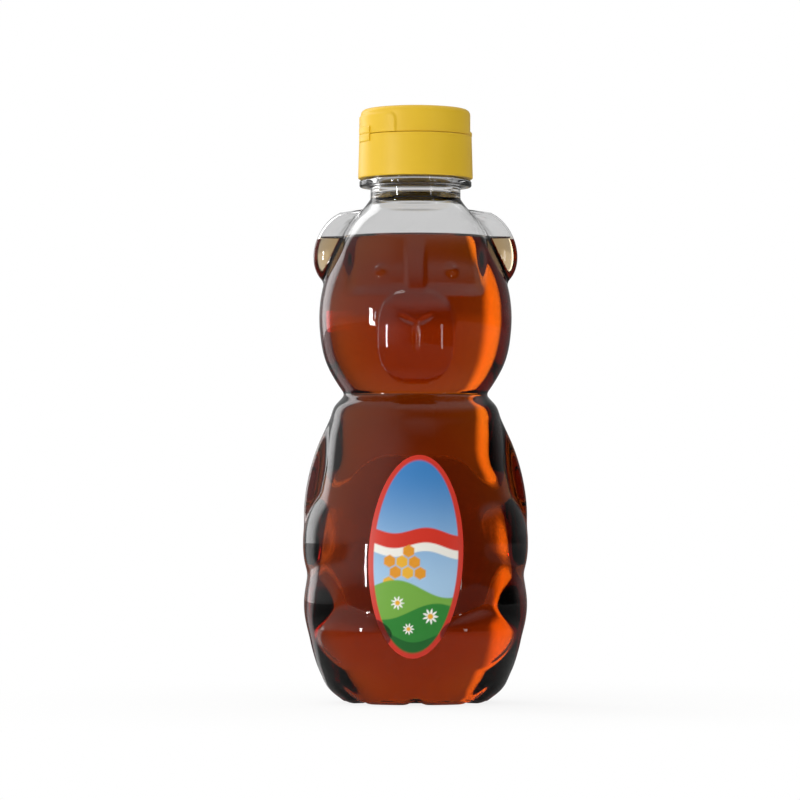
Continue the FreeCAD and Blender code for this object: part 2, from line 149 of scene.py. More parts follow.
def ramp(
    tree: bpy.types.NodeTree, value: Value, span: Pair, result: tuple[Value, Value], smooth: bool = True
) -> bpy.types.NodeSocket:
    """Maps a span of values to another one, and holds its ends outside that span.

    Args:
        tree: Tree that gets the node.
        value: Number or socket to map.
        span: Values that give the first and the last result.
        result: The first and the last result.
        smooth: Whether it starts and ends gently.

    Returns:
        The socket with the result.
    """
    node = add_node(tree, "ShaderNodeMapRange", {
        "Value": value, "From Min": span[0], "From Max": span[1], "To Min": result[0], "To Max": result[1],
    }, interpolation_type="SMOOTHSTEP" if smooth else "LINEAR")
    return node.outputs["Result"]


def noise(tree: bpy.types.NodeTree, width: float, detail: float) -> bpy.types.NodeSocket:
    """Soft random pattern in the piece's own coordinates.

    Args:
        tree: Tree that gets the nodes.
        width: Usual width of a blotch.
        detail: How much finer structure it has.

    Returns:
        The socket with the pattern.
    """
    place = add_node(tree, "ShaderNodeTexCoord")
    pattern = add_node(tree, "ShaderNodeTexNoise", {
        "Vector": place.outputs["Object"], "Scale": 1 / (width * MM), "Detail": detail,
    })
    return pattern.outputs["Fac"]


def relief(
    tree: bpy.types.NodeTree, pattern: bpy.types.NodeSocket, height: float, strength: float = 1.0
) -> bpy.types.NodeSocket:
    """Normal of a face with a small relief.

    Args:
        tree: Tree that gets the node.
        pattern: Socket that the relief follows.
        height: Height of the relief.
        strength: Share of it that shows.

    Returns:
        The socket with the normal.
    """
    bump = add_node(tree, "ShaderNodeBump", {
        "Height": pattern, "Strength": strength, "Distance": height * MM,
    })
    return bump.outputs["Normal"]


def new_material(name: str) -> tuple[bpy.types.Material, bpy.types.NodeTree, bpy.types.Node]:
    """Makes an empty node material.

    Args:
        name: What the real material is called.

    Returns:
        The material, its tree and its output node.
    """
    material = bpy.data.materials.new(name)
    material.use_nodes = True
    tree = material.node_tree
    tree.nodes.clear()
    return material, tree, tree.nodes.new("ShaderNodeOutputMaterial")


@dataclass(frozen=True)
class ClearPet:
    """PET, stretch blow-moulded: clear, glossy, and faintly wavy where the wall chilled unevenly."""

    name: str = "pet_blow_moulded"
    ior: float = 1.57
    roughness: float = 0.02
    wave_width: float = 11.0
    wave_height: float = 0.012

    def make(self) -> bpy.types.Material:
        """Builds the material."""
        material, tree, output = new_material(self.name)
        waves = noise(tree, self.wave_width, detail=1.0)
        shader = add_node(tree, "ShaderNodeBsdfPrincipled", {
            "Base Color": linear("#FFFFFF"), "Roughness": self.roughness, "IOR": self.ior,
            "Transmission Weight": 1.0, "Normal": relief(tree, waves, self.wave_height),
        })
        tree.links.new(shader.outputs["BSDF"], output.inputs["Surface"])
        return material


@dataclass(frozen=True)
class AmberSyrup:
    """Honey syrup: clear, and orange to red-brown with depth, because it takes blue first and red last.

    It wets the wall, whose inner face bends the light there. Only its open face, in the air, bends light
    itself.
    """

    name: str = "honey_syrup"
    ior: float = 1.49
    absorbed_per_metre: Triple = (23.0, 73.0, 165.0)

    def make(self) -> bpy.types.Material:
        """Builds the material."""
        material, tree, output = new_material(self.name)
        open_face = add_node(tree, "ShaderNodeAttribute", attribute_name="open_face")
        wetting = add_node(tree, "ShaderNodeBsdfTransparent")
        shader = add_node(tree, "ShaderNodeBsdfPrincipled", {
            "Base Color": linear("#FFFFFF"), "Roughness": 0.0, "IOR": self.ior, "Transmission Weight": 1.0,
        })
        surface = add_node(tree, "ShaderNodeMixShader", {
            0: open_face.outputs["Fac"], 1: wetting.outputs["BSDF"], 2: shader.outputs["BSDF"],
        })
        density = max(self.absorbed_per_metre)
        kept = [1 - part / density for part in self.absorbed_per_metre]
        depth = add_node(tree, "ShaderNodeVolumeAbsorption", {"Color": (*kept, 1.0), "Density": density})
        tree.links.new(surface.outputs["Shader"], output.inputs["Surface"])
        tree.links.new(depth.outputs["Volume"], output.inputs["Volume"])
        return material


@dataclass(frozen=True)
class PrintedFilm:
    """Polypropylene film, printed and varnished: inks in flat areas, a soft gloss, a faint stretch.

    Seen from inside the bottle, the film lets a share of the light through. Film without ink is clear.
    """

    name: str = "printed_pp_film"
    ior: float = 1.49
    roughness: float = 0.32
    stretch_width: float = 3.0
    stretch_height: float = 0.004
    light_through: float = 0.0

    def make(self) -> bpy.types.Material:
        """Builds the material."""
        material, tree, output = new_material(self.name)
        ink = add_node(tree, "ShaderNodeAttribute", attribute_name="ink").outputs["Color"]
        printed = add_node(tree, "ShaderNodeAttribute", attribute_name="printed_face").outputs["Fac"]
        bare = add_node(tree, "ShaderNodeAttribute", attribute_name="bare_film").outputs["Fac"]
        stretch = noise(tree, self.stretch_width, detail=2.0)
        shader = add_node(tree, "ShaderNodeBsdfPrincipled", {
            "Base Color": ink, "Roughness": self.roughness, "IOR": self.ior,
            "Normal": relief(tree, stretch, self.stretch_height),
        })
        passing = add_node(tree, "ShaderNodeBsdfTranslucent", {"Color": ink})
        behind = add_node(tree, "ShaderNodeNewGeometry").outputs["Backfacing"]
        from_inside = reckon(tree, "MAXIMUM", reckon(tree, "SUBTRACT", 1.0, printed), behind)
        through = reckon(tree, "MULTIPLY", from_inside, self.light_through)
        film = add_node(tree, "ShaderNodeMixShader", {
            0: through, 1: shader.outputs["BSDF"], 2: passing.outputs["BSDF"],
        })
        clear = add_node(tree, "ShaderNodeBsdfTransparent")
        film = add_node(tree, "ShaderNodeMixShader", {
            0: bare, 1: film.outputs["Shader"], 2: clear.outputs["BSDF"],
        })
        tree.links.new(film.outputs["Shader"], output.inputs["Surface"])
        return material


@dataclass(frozen=True)
class MouldedPolypropylene:
    """Polypropylene, injection-moulded: even colour, and satin from a fine spark-eroded mould."""

    name: str
    colour: str
    colour_deep: str
    ior: float = 1.49
    roughness: float = 0.4
    roughness_swing: float = 0.06
    cloud_width: float = 14.0
    # The real grain is about 0.1 mm; it is drawn coarser so that it shows.
    grain_width: float = 0.5
    grain_height: float = 0.008

    def make(self) -> bpy.types.Material:
        """Builds the material."""
        material, tree, output = new_material(self.name)
        clouds = noise(tree, self.cloud_width, detail=2.0)
        grain = noise(tree, self.grain_width, detail=2.0)
        colour = add_node(tree, "ShaderNodeMix", {
            "Factor": clouds, 6: linear(self.colour_deep), 7: linear(self.colour),
        }, data_type="RGBA")
        rough = (self.roughness - self.roughness_swing, self.roughness + self.roughness_swing)
        shader = add_node(tree, "ShaderNodeBsdfPrincipled", {
            "Base Color": colour.outputs[2],
            "Roughness": ramp(tree, grain, (0.0, 1.0), rough, smooth=False),
            "IOR": self.ior, "Normal": relief(tree, grain, self.grain_height, strength=0.5),
        })
        tree.links.new(shader.outputs["BSDF"], output.inputs["Surface"])
        return material


@dataclass(frozen=True)
class FoamLiner:
    """Foamed polyethylene sheet: off-white and matt, with fine closed cells."""

    name: str = "pe_foam_sheet"
    colour: str = "#ECEAE4"
    roughness: float = 0.8
    cell_width: float = 0.4
    cell_depth: float = 0.03

    def make(self) -> bpy.types.Material:
        """Builds the material."""
        material, tree, output = new_material(self.name)
        place = add_node(tree, "ShaderNodeTexCoord")
        cells = add_node(tree, "ShaderNodeTexVoronoi", {
            "Vector": place.outputs["Object"], "Scale": 1 / (self.cell_width * MM),
        })
        shader = add_node(tree, "ShaderNodeBsdfPrincipled", {
            "Base Color": linear(self.colour), "Roughness": self.roughness,
            "Normal": relief(tree, cells.outputs["Distance"], self.cell_depth, strength=0.6),
        })
        tree.links.new(shader.outputs["BSDF"], output.inputs["Surface"])
        return material


def graded(start: float, stop: float, count: int, crowds: Sequence[Triple]) -> np.ndarray:
    """Spreads values over a range, closer together where more detail is.

    Args:
        start: First value.
        stop: Last value.
        count: How many values.
        crowds: Middle, half width and extra weight of each crowded stretch.

    Returns:
        The values in order.
    """
    fine = np.linspace(start, stop, 4000)
    weight = np.ones_like(fine)
    for middle, width, extra in crowds:
        weight += extra * np.exp(-(((fine - middle) / width) ** 2))
    run = np.concatenate([[0.0], np.cumsum((weight[1:] + weight[:-1]) / 2)])
    return np.interp(np.linspace(0, run[-1], count), run, fine)


def smooth_step(value: np.ndarray, low: float, high: float) -> np.ndarray:
    """Rises from 0 at low to 1 at high, without corners."""
    part = np.clip((value - low) / (high - low), 0, 1)
    return part * part * (3 - 2 * part)


def smooth_union(first: np.ndarray, second: np.ndarray, round_off: float) -> np.ndarray:
    """Distance to two forms joined with a fillet.

    Args:
        first: Distance to one form.
        second: Distance to the other.
        round_off: Width of the fillet.

    Returns:
        The joined distance.
    """
    share = np.clip(0.5 + 0.5 * (second - first) / round_off, 0, 1)
    return second + (first - second) * share - round_off * share * (1 - share)


def curve_through(knots: Sequence[Pair], at: np.ndarray) -> np.ndarray:
    """Smooth curve through points, as a loft through sections gives.

    Args:
        knots: Height and half width of each section.
        at: Heights to read the curve at.

    Returns:
        The half width at each height.
    """
    heights, values = (np.array(part) for part in zip(*knots))
    slopes = np.gradient(values, heights)
    at = np.clip(at, heights[0], heights[-1])
    left = np.clip(np.searchsorted(heights, at) - 1, 0, len(heights) - 2)
    span = heights[left + 1] - heights[left]
    t = (at - heights[left]) / span
    return (
        (1 + 2 * t) * (1 - t) ** 2 * values[left] + t * t * (3 - 2 * t) * values[left + 1]
        + t * (1 - t) ** 2 * span * slopes[left] - t * t * (1 - t) * span * slopes[left + 1]
    )


@dataclass(frozen=True)
class Swelling:
    """A rounded swelling or hollow of the bear: an ellipsoid that melts into what it stands on."""

    centre: Triple
    half: Triple
    azimuth: float | None = None
    tilt: float = 0.0
    fillet: float = 1.6
    squareness: float = 2.0
    roll: float = 0.0

    def distance(self, x: np.ndarray, y: np.ndarray, z: np.ndarray) -> np.ndarray:
        """Distance to its surface, about right near it.

        Args:
            x: Points' X.
            y: Points' Y.
            z: Points' Z.

        Returns:
            Negative inside, positive outside.
        """
        x, y, z = x - self.centre[0], y - self.centre[1], z - self.centre[2]
        if self.azimuth is None:
            lean = math.radians(self.tilt)
            along = -math.sin(lean) * x + math.cos(lean) * z
            out = math.cos(lean) * x + math.sin(lean) * z
            across = y
        else:
            turn = math.radians(self.azimuth)
            along = math.sin(turn) * x - math.cos(turn) * y
            out = math.cos(turn) * x + math.sin(turn) * y
            across = z
        level_share = math.cos(math.radians(self.roll))
        rolled_share = math.sin(math.radians(self.roll))
        along, across = (
            level_share * along + rolled_share * across,
            level_share * across - rolled_share * along,
        )
        power = self.squareness
        along, out, across = (np.abs(part / size) for part, size in zip((along, out, across), self.half))
        flat = (along**power + across**power) ** (1 / power) + 1e-9
        near = np.hypot(flat, out)
        slope = flat ** (2 - power) / near
        steep = np.sqrt(
            (slope * along ** (power - 1) / self.half[0]) ** 2
            + (slope * across ** (power - 1) / self.half[2]) ** 2
            + (out / near / self.half[1]) ** 2
        )
        return (near - 1) / (steep + 1e-9)


FRONT_AZIMUTH = -90.0


@dataclass(frozen=True)
class BearForm:
    """The bear's outer form below the neck, as a distance that swellings melt into."""

    torso: tuple[Pair, ...] = (
        (0.0, 20.0), (3.4, 24.4), (8.6, 27.4), (15.6, 29.8), (32.0, 31.3), (50.0, 29.8), (66.0, 26.8),
        (81.0, 24.6), (85.5, 23.2), (88.0, 21.0), (91.0, 19.4),
    )
    head: tuple[Pair, ...] = (
        (85.0, 17.5), (91.0, 22.0), (97.0, 25.4), (107.0, 27.6), (119.0, 26.9), (130.0, 22.9),
        (139.0, 18.0), (143.2, 14.4), (145.0, 13.1),
    )
    belly_flatness: float = 0.84
    shoulder_flatness: float = 0.87
    flatness_levels: Pair = (48.0, 84.0)
    head_flatness: float = 0.88
    waist_fillet: float = 1.2
    panel_half: Pair = (17.8, 34.5)
    panel_level: float = 42.0
    panel_rise: float = 0.8
    panel_edge: float = 3.4
    # Upper arm, forearm, thigh, foot, ear and muzzle
    raised: tuple[Swelling, ...] = (
        Swelling((23.8, 0.0, 64.0), (21.0, 7.1, 5.0), tilt=13.0),
        Swelling((19.2, -5.6, 46.0), (18.0, 10.9, 18.0), -32.0, fillet=0.5, squareness=2.2),
        Swelling((19.3, -1.0, 28.4), (18.0, 12.8, 18.0), -5.0, fillet=0.6),
        Swelling((14.4, -11.9, 21.0), (17.0, 11.4, 13.6), -45.0, fillet=0.35, squareness=1.7),
        Swelling((20.3, 0.0, 130.9), (11.6, 8.6, 4.2), tilt=24.0, fillet=1.2),
        Swelling((0.0, -23.0, 104.6), (11.0, 4.4, 13.0), FRONT_AZIMUTH, fillet=0.6, squareness=2.8),
    )
    # The line under the nose, and one side of the nose's V
    grooves: tuple[Swelling, ...] = (
        Swelling((0.0, -28.3, 104.0), (1.1, 2.0, 4.4), FRONT_AZIMUTH, fillet=0.4),
        Swelling((3.0, -28.0, 109.4), (3.7, 1.7, 0.8), FRONT_AZIMUTH, fillet=0.4, roll=-29.0),
    )
    # The eye socket: where it starts and ends from the middle to the side, and from cheek to brow
    socket_depth: float = 1.7
    socket_inner: Pair = (1.8, 3.6)
    socket_outer: Pair = (16.5, 20.5)
    socket_ledge: Pair = (115.8, 119.8)
    socket_brow: Pair = (124.5, 134.5)
    eye: Swelling = Swelling((9.7, -17.8, 123.2), (2.2, 2.2, 2.2), FRONT_AZIMUTH, fillet=0.6)
    # How the surface is searched for: from far to near in strides, then by halving
    farthest: float = 38.0
    nearest: float = 8.0
    stride: float = 1.0
    halvings: int = 12

    def torso_flatness(self, z: np.ndarray) -> np.ndarray:
        """Depth of the torso as a share of its width: the belly is flatter than the shoulders."""
        rise = smooth_step(z, *self.flatness_levels)
        return self.belly_flatness + (self.shoulder_flatness - self.belly_flatness) * rise

    def distance(self, x: np.ndarray, y: np.ndarray, z: np.ndarray) -> np.ndarray:
        """Distance to the bear's right half, which its left half mirrors.

        Args:
            x: Points' X, not negative.
            y: Points' Y.
            z: Points' Z.

        Returns:
            Negative inside, positive outside.
        """
        torso_half = curve_through(self.torso, z)
        oval = np.hypot(x / self.panel_half[0], (z - self.panel_level) / self.panel_half[1])
        past = (oval - 1) * self.panel_half[0]
        panel = self.panel_rise * (1 - smooth_step(past, -self.panel_edge, self.panel_edge))
        depth = np.maximum(np.abs(y) - panel, 0.0) / self.torso_flatness(z)
        torso = np.maximum(np.hypot(x, depth) - torso_half, z - self.torso[-1][0])
        head_half = curve_through(self.head, z)
        socket = self.socket_depth * np.where(y < 0, 1.0, 0.0)
        for value, rise, fall in (
            (x, self.socket_inner, self.socket_outer), (z, self.socket_ledge, self.socket_brow),
        ):
            socket = socket * smooth_step(value, *rise) * (1 - smooth_step(value, *fall))
        head = np.maximum(np.hypot(x, y / self.head_flatness) - head_half + socket, self.head[0][0] - z)
        form = smooth_union(torso, head, self.waist_fillet)
        for swelling in self.raised:
            form = smooth_union(form, swelling.distance(x, y, z), swelling.fillet)
        for groove in self.grooves:
            form = -smooth_union(-form, groove.distance(x, y, z), groove.fillet)
        return smooth_union(form, self.eye.distance(x, y, z), self.eye.fillet)

    def radius(self, azimuths: np.ndarray, levels: np.ndarray, inset: float) -> np.ndarray:
        """How far the form reaches from the neck's axis.

        Args:
            azimuths: Azimuths in radians, from the front by the right side to the back.
            levels: Heights.
            inset: How far inside the outer face.

        Returns:
            One row of radii for each height.
        """
        turn, level = np.meshgrid(azimuths, levels)
        side, depth = np.cos(turn), np.sin(turn)
        far = np.full_like(turn, self.farthest)
        looking = np.ones_like(turn, dtype=bool)
        for reach in np.arange(self.farthest, self.nearest, -self.stride):
            inside = self.distance(reach * side, reach * depth, level) < -inset
            far = np.where(looking & ~inside, reach, far)
            looking &= ~inside
        near = far - self.stride
        for _ in range(self.halvings):
            middle = (near + far) / 2
            inside = self.distance(middle * side, middle * depth, level) < -inset
            near = np.where(inside, middle, near)
            far = np.where(inside, far, middle)
        return (near + far) / 2

    def panel_face(self, x: np.ndarray, z: np.ndarray, proud: float) -> np.ndarray:
        """How far the face of a label panel lies from the bear's middle plane.

        Args:
            x: Points' X.
            z: Points' Z.
            proud: Height above the panel.

        Returns:
            The distance along Y.
        """
        half = curve_through(self.torso, z)
        return self.torso_flatness(z) * np.sqrt(half**2 - x**2) + self.panel_rise + proud


def new_piece(
    name: str, points: Sequence[Triple], faces: Sequence, materials: Sequence[bpy.types.Material]
) -> bpy.types.Object:
    """Makes a mesh piece at the origin.

    Args:
        name: Name of the piece and its mesh.
        points: Points in metres.
        faces: Numbers of each face's points.
        materials: Finishes of the piece, the first one on all its faces.

    Returns:
        The piece.
    """
    mesh = bpy.data.meshes.new(name)
    mesh.from_pydata(points, [], faces)
    for material in materials:
        mesh.materials.append(material)
    piece = bpy.data.objects.new(name, mesh)
    bpy.context.scene.collection.objects.link(piece)
    return piece


def skin(
    name: str,
    rows: np.ndarray,
    materials: Sequence[bpy.types.Material],
    poles: tuple[float | None, float | None] = (None, None),
    ring: bool = False,
) -> bpy.types.Object:
    """Closed mesh through rows of points that go round the neck's axis.

    Args:
        name: Name of the piece.
        rows: Points in millimetres: row, column, coordinate.
        materials: Finishes of the piece, the first one on all its faces.
        poles: Height of the point on the axis that closes the first and the last row, if any.
        ring: Whether the last row joins the first.

    Returns:
        The piece, at the origin.
    """
    count, columns = rows.shape[:2]
    points = list(map(tuple, rows.reshape(-1, 3) * MM))
    faces = []
    for row in range(count if ring else count - 1):
        low, high = row * columns, (row + 1) % count * columns
        for column in range(columns):
            after = (column + 1) % columns
            faces.append((low + column, low + after, high + after, high + column))
    for height, base, turned in ((poles[0], 0, True), (poles[1], (count - 1) * columns, False)):
        if height is None:
            continue
        points.append((0.0, 0.0, height * MM))
        for column in range(columns):
            edge = (base + column, base + (column + 1) % columns)
            faces.append((*(reversed(edge) if turned else edge), len(points) - 1))
    piece = new_piece(name, points, faces, materials)
    piece.data.shade_smooth()
    return piece


def close_points(mesh: bpy.types.Mesh) -> None:
    """Merges points that lie on each other, and faces outwards what that leaves."""
    shape = bmesh.new()
    shape.from_mesh(mesh)
    bmesh.ops.remove_doubles(shape, verts=shape.verts, dist=0.002 * MM)
    bmesh.ops.recalc_face_normals(shape, faces=shape.faces)
    shape.to_mesh(mesh)
    shape.free()


def rounded(corners: Sequence[Triple], step: float, closed: bool) -> list[Pair]:
    """Outline with rounded corners and no long runs.

    Args:
        corners: Radius, height and rounding of each corner.
        step: Longest run between points.
        closed: Whether the last corner joins the first.

    Returns:
        Radius and height of each point.
    """
    points: list[np.ndarray] = []
    count = len(corners)
    for index, (radius, height, rounding) in enumerate(corners):
        spot = np.array([radius, height])
        if rounding <= 0 or (not closed and index in (0, count - 1)):
            points.append(spot)
            continue
        before = np.array(corners[index - 1][:2]) - spot
        after = np.array(corners[(index + 1) % count][:2]) - spot
        before, after = before / np.linalg.norm(before), after / np.linalg.norm(after)
        half = math.acos(float(np.clip(before @ after, -1, 1))) / 2
        run = rounding / math.tan(half)
        middle = spot + (before + after) / np.linalg.norm(before + after) * rounding / math.sin(half)
        start, end = spot + before * run - middle, spot + after * run - middle
        sweep = math.pi - 2 * half
        for part in np.linspace(0, 1, 6):
            mixed = math.sin((1 - part) * sweep) * start + math.sin(part * sweep) * end
            points.append(middle + mixed / math.sin(sweep))
    fine: list[Pair] = []
    for index, spot in enumerate(points):
        fine.append((float(spot[0]), float(spot[1])))
        if index == len(points) - 1 and not closed:
            break
        run = points[(index + 1) % len(points)] - spot
        pieces = max(1, math.ceil(float(np.linalg.norm(run)) / step))
        for part in range(1, pieces):
            fine.append((float(spot[0] + run[0] * part / pieces), float(spot[1] + run[1] * part / pieces)))
    return fine


def turned_rows(
    outline: Sequence[Pair], azimuths: np.ndarray, push: Callable | None = None
) -> np.ndarray:
    """Rows of points from an outline turned about the neck's axis.

    Args:
        outline: Radius and height of each row.
        azimuths: Azimuth of each column, in radians.
        push: Gives the extra radius from azimuth, radius and height.

    Returns:
        Points in millimetres: row, column, coordinate.
    """
    radius, turn = np.meshgrid([spot[0] for spot in outline], azimuths, indexing="ij")
    level = np.broadcast_to(np.array([spot[1] for spot in outline])[:, None], radius.shape)
    if push:
        radius = radius + push(turn, radius, level)
    return np.stack([radius * np.cos(turn), radius * np.sin(turn), level], axis=-1)


def seat(piece: bpy.types.Object, body: Body, slot: Slot, *nodes: str) -> bpy.types.Object:
    """Puts a finished piece on its body in place of CAD nodes, and reports it.

    Args:
        piece: The finished piece.
        body: Body that it moves with.
        slot: Material slot of the CAD nodes; not used.
        nodes: CAD nodes that it stands for.

    Returns:
        The same piece.
    """
    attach(piece, body.value)
    if nodes:
        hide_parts(*nodes)
    LOG.info("%s: %d faces on %s", piece.name, len(piece.data.polygons), body.value)
    return piece


@dataclass
class WoundRidge:
    """A screw thread: a ridge of trapezoid section wound round the neck's axis by a node tree."""

    name: str
    root_radius: float
    crest_radius: float
    start: float
    pitch: float
    turns: float
    root_width: float
    crest_width: float
    points_per_turn: int = 96

    def tree(self) -> bpy.types.NodeTree:
        """Builds the tree, with its sizes as named inputs.

        Returns:
            The node tree.
        """
        tree = bpy.data.node_groups.new(f"{self.name}_tree", "GeometryNodeTree")
        for label in ("Radius", "Pitch", "Turns", "Start", "Depth", "Root Width", "Crest Width"):
            tree.interface.new_socket(label, in_out="INPUT", socket_type="NodeSocketFloat")
        tree.interface.new_socket("Finish", in_out="INPUT", socket_type="NodeSocketMaterial")
        tree.interface.new_socket("Ridge", in_out="OUTPUT", socket_type="NodeSocketGeometry")
        given = add_node(tree, "NodeGroupInput").outputs
        rise = reckon(tree, "MULTIPLY", given["Pitch"], given["Turns"])
        path = add_node(tree, "GeometryNodeCurveSpiral", {
            "Resolution": self.points_per_turn, "Rotations": given["Turns"],
            "Height": rise, "Reverse": False,
            "Start Radius": given["Radius"], "End Radius": given["Radius"],
        })
        line = path.outputs["Curve"]
        upright = add_node(tree, "GeometryNodeSetCurveNormal", {"Curve": line}, mode="Z_UP")
        section = add_node(tree, "GeometryNodeCurvePrimitiveQuadrilateral", {
            "Height": given["Depth"], "Offset": 0.0,
            "Bottom Width": given["Root Width"], "Top Width": given["Crest Width"],
        }, mode="TRAPEZOID")
        quarter = add_node(tree, "GeometryNodeTransform", {
            "Geometry": section.outputs["Curve"], "Rotation": (0.0, 0.0, math.radians(90)),
        })
        ridge = add_node(tree, "GeometryNodeCurveToMesh", {
            "Curve": upright.outputs["Curve"], "Profile Curve": quarter.outputs["Geometry"],
            "Fill Caps": True,
        })
        lift = add_node(tree, "ShaderNodeCombineXYZ", {"Z": given["Start"]})
        placed = add_node(tree, "GeometryNodeTransform", {
            "Geometry": ridge.outputs["Mesh"], "Translation": lift.outputs["Vector"],
        })
        plain = add_node(tree, "GeometryNodeRealizeInstances", {"Geometry": placed.outputs["Geometry"]})
        dressed = add_node(tree, "GeometryNodeSetMaterial", {
            "Geometry": plain.outputs["Geometry"], "Material": given["Finish"],
        })
        add_node(tree, "NodeGroupOutput", {0: dressed.outputs["Geometry"]})
        return tree

    def build(self, finish: bpy.types.Material) -> bpy.types.Object:
        """Winds the ridge and turns it into a plain mesh.

        Args:
            finish: Its material.

        Returns:
            The ridge as a piece.
        """
        middle = (self.root_radius + self.crest_radius) / 2
        values = {
            "Radius": middle * MM, "Pitch": self.pitch * MM, "Turns": self.turns, "Start": self.start * MM,
            "Depth": (self.crest_radius - self.root_radius) * MM, "Root Width": self.root_width * MM,
            "Crest Width": self.crest_width * MM, "Finish": finish,
        }
        return node_piece(self.name, self.tree(), values)


def node_piece(name: str, tree: bpy.types.NodeTree, values: dict) -> bpy.types.Object:
    """Runs a geometry tree once and keeps the result as a plain mesh.

    Args:
        name: Name of the piece.
        tree: Geometry tree.
        values: Value of each named input.

    Returns:
        The piece, without its modifier.
    """
    piece = bpy.data.objects.new(name, bpy.data.meshes.new(f"{name}_start"))
    bpy.context.scene.collection.objects.link(piece)
    modifier = piece.modifiers.new("shape", "NODES")
    modifier.node_group = tree
    for item in tree.interface.items_tree:
        if item.item_type == "SOCKET" and item.in_out == "INPUT" and item.name in values:
            modifier[item.identifier] = values[item.name]
    graph = bpy.context.evaluated_depsgraph_get()
    mesh = bpy.data.meshes.new_from_object(piece.evaluated_get(graph))
    piece.modifiers.remove(modifier)
    mesh.name = name
    piece.data = mesh
    return piece


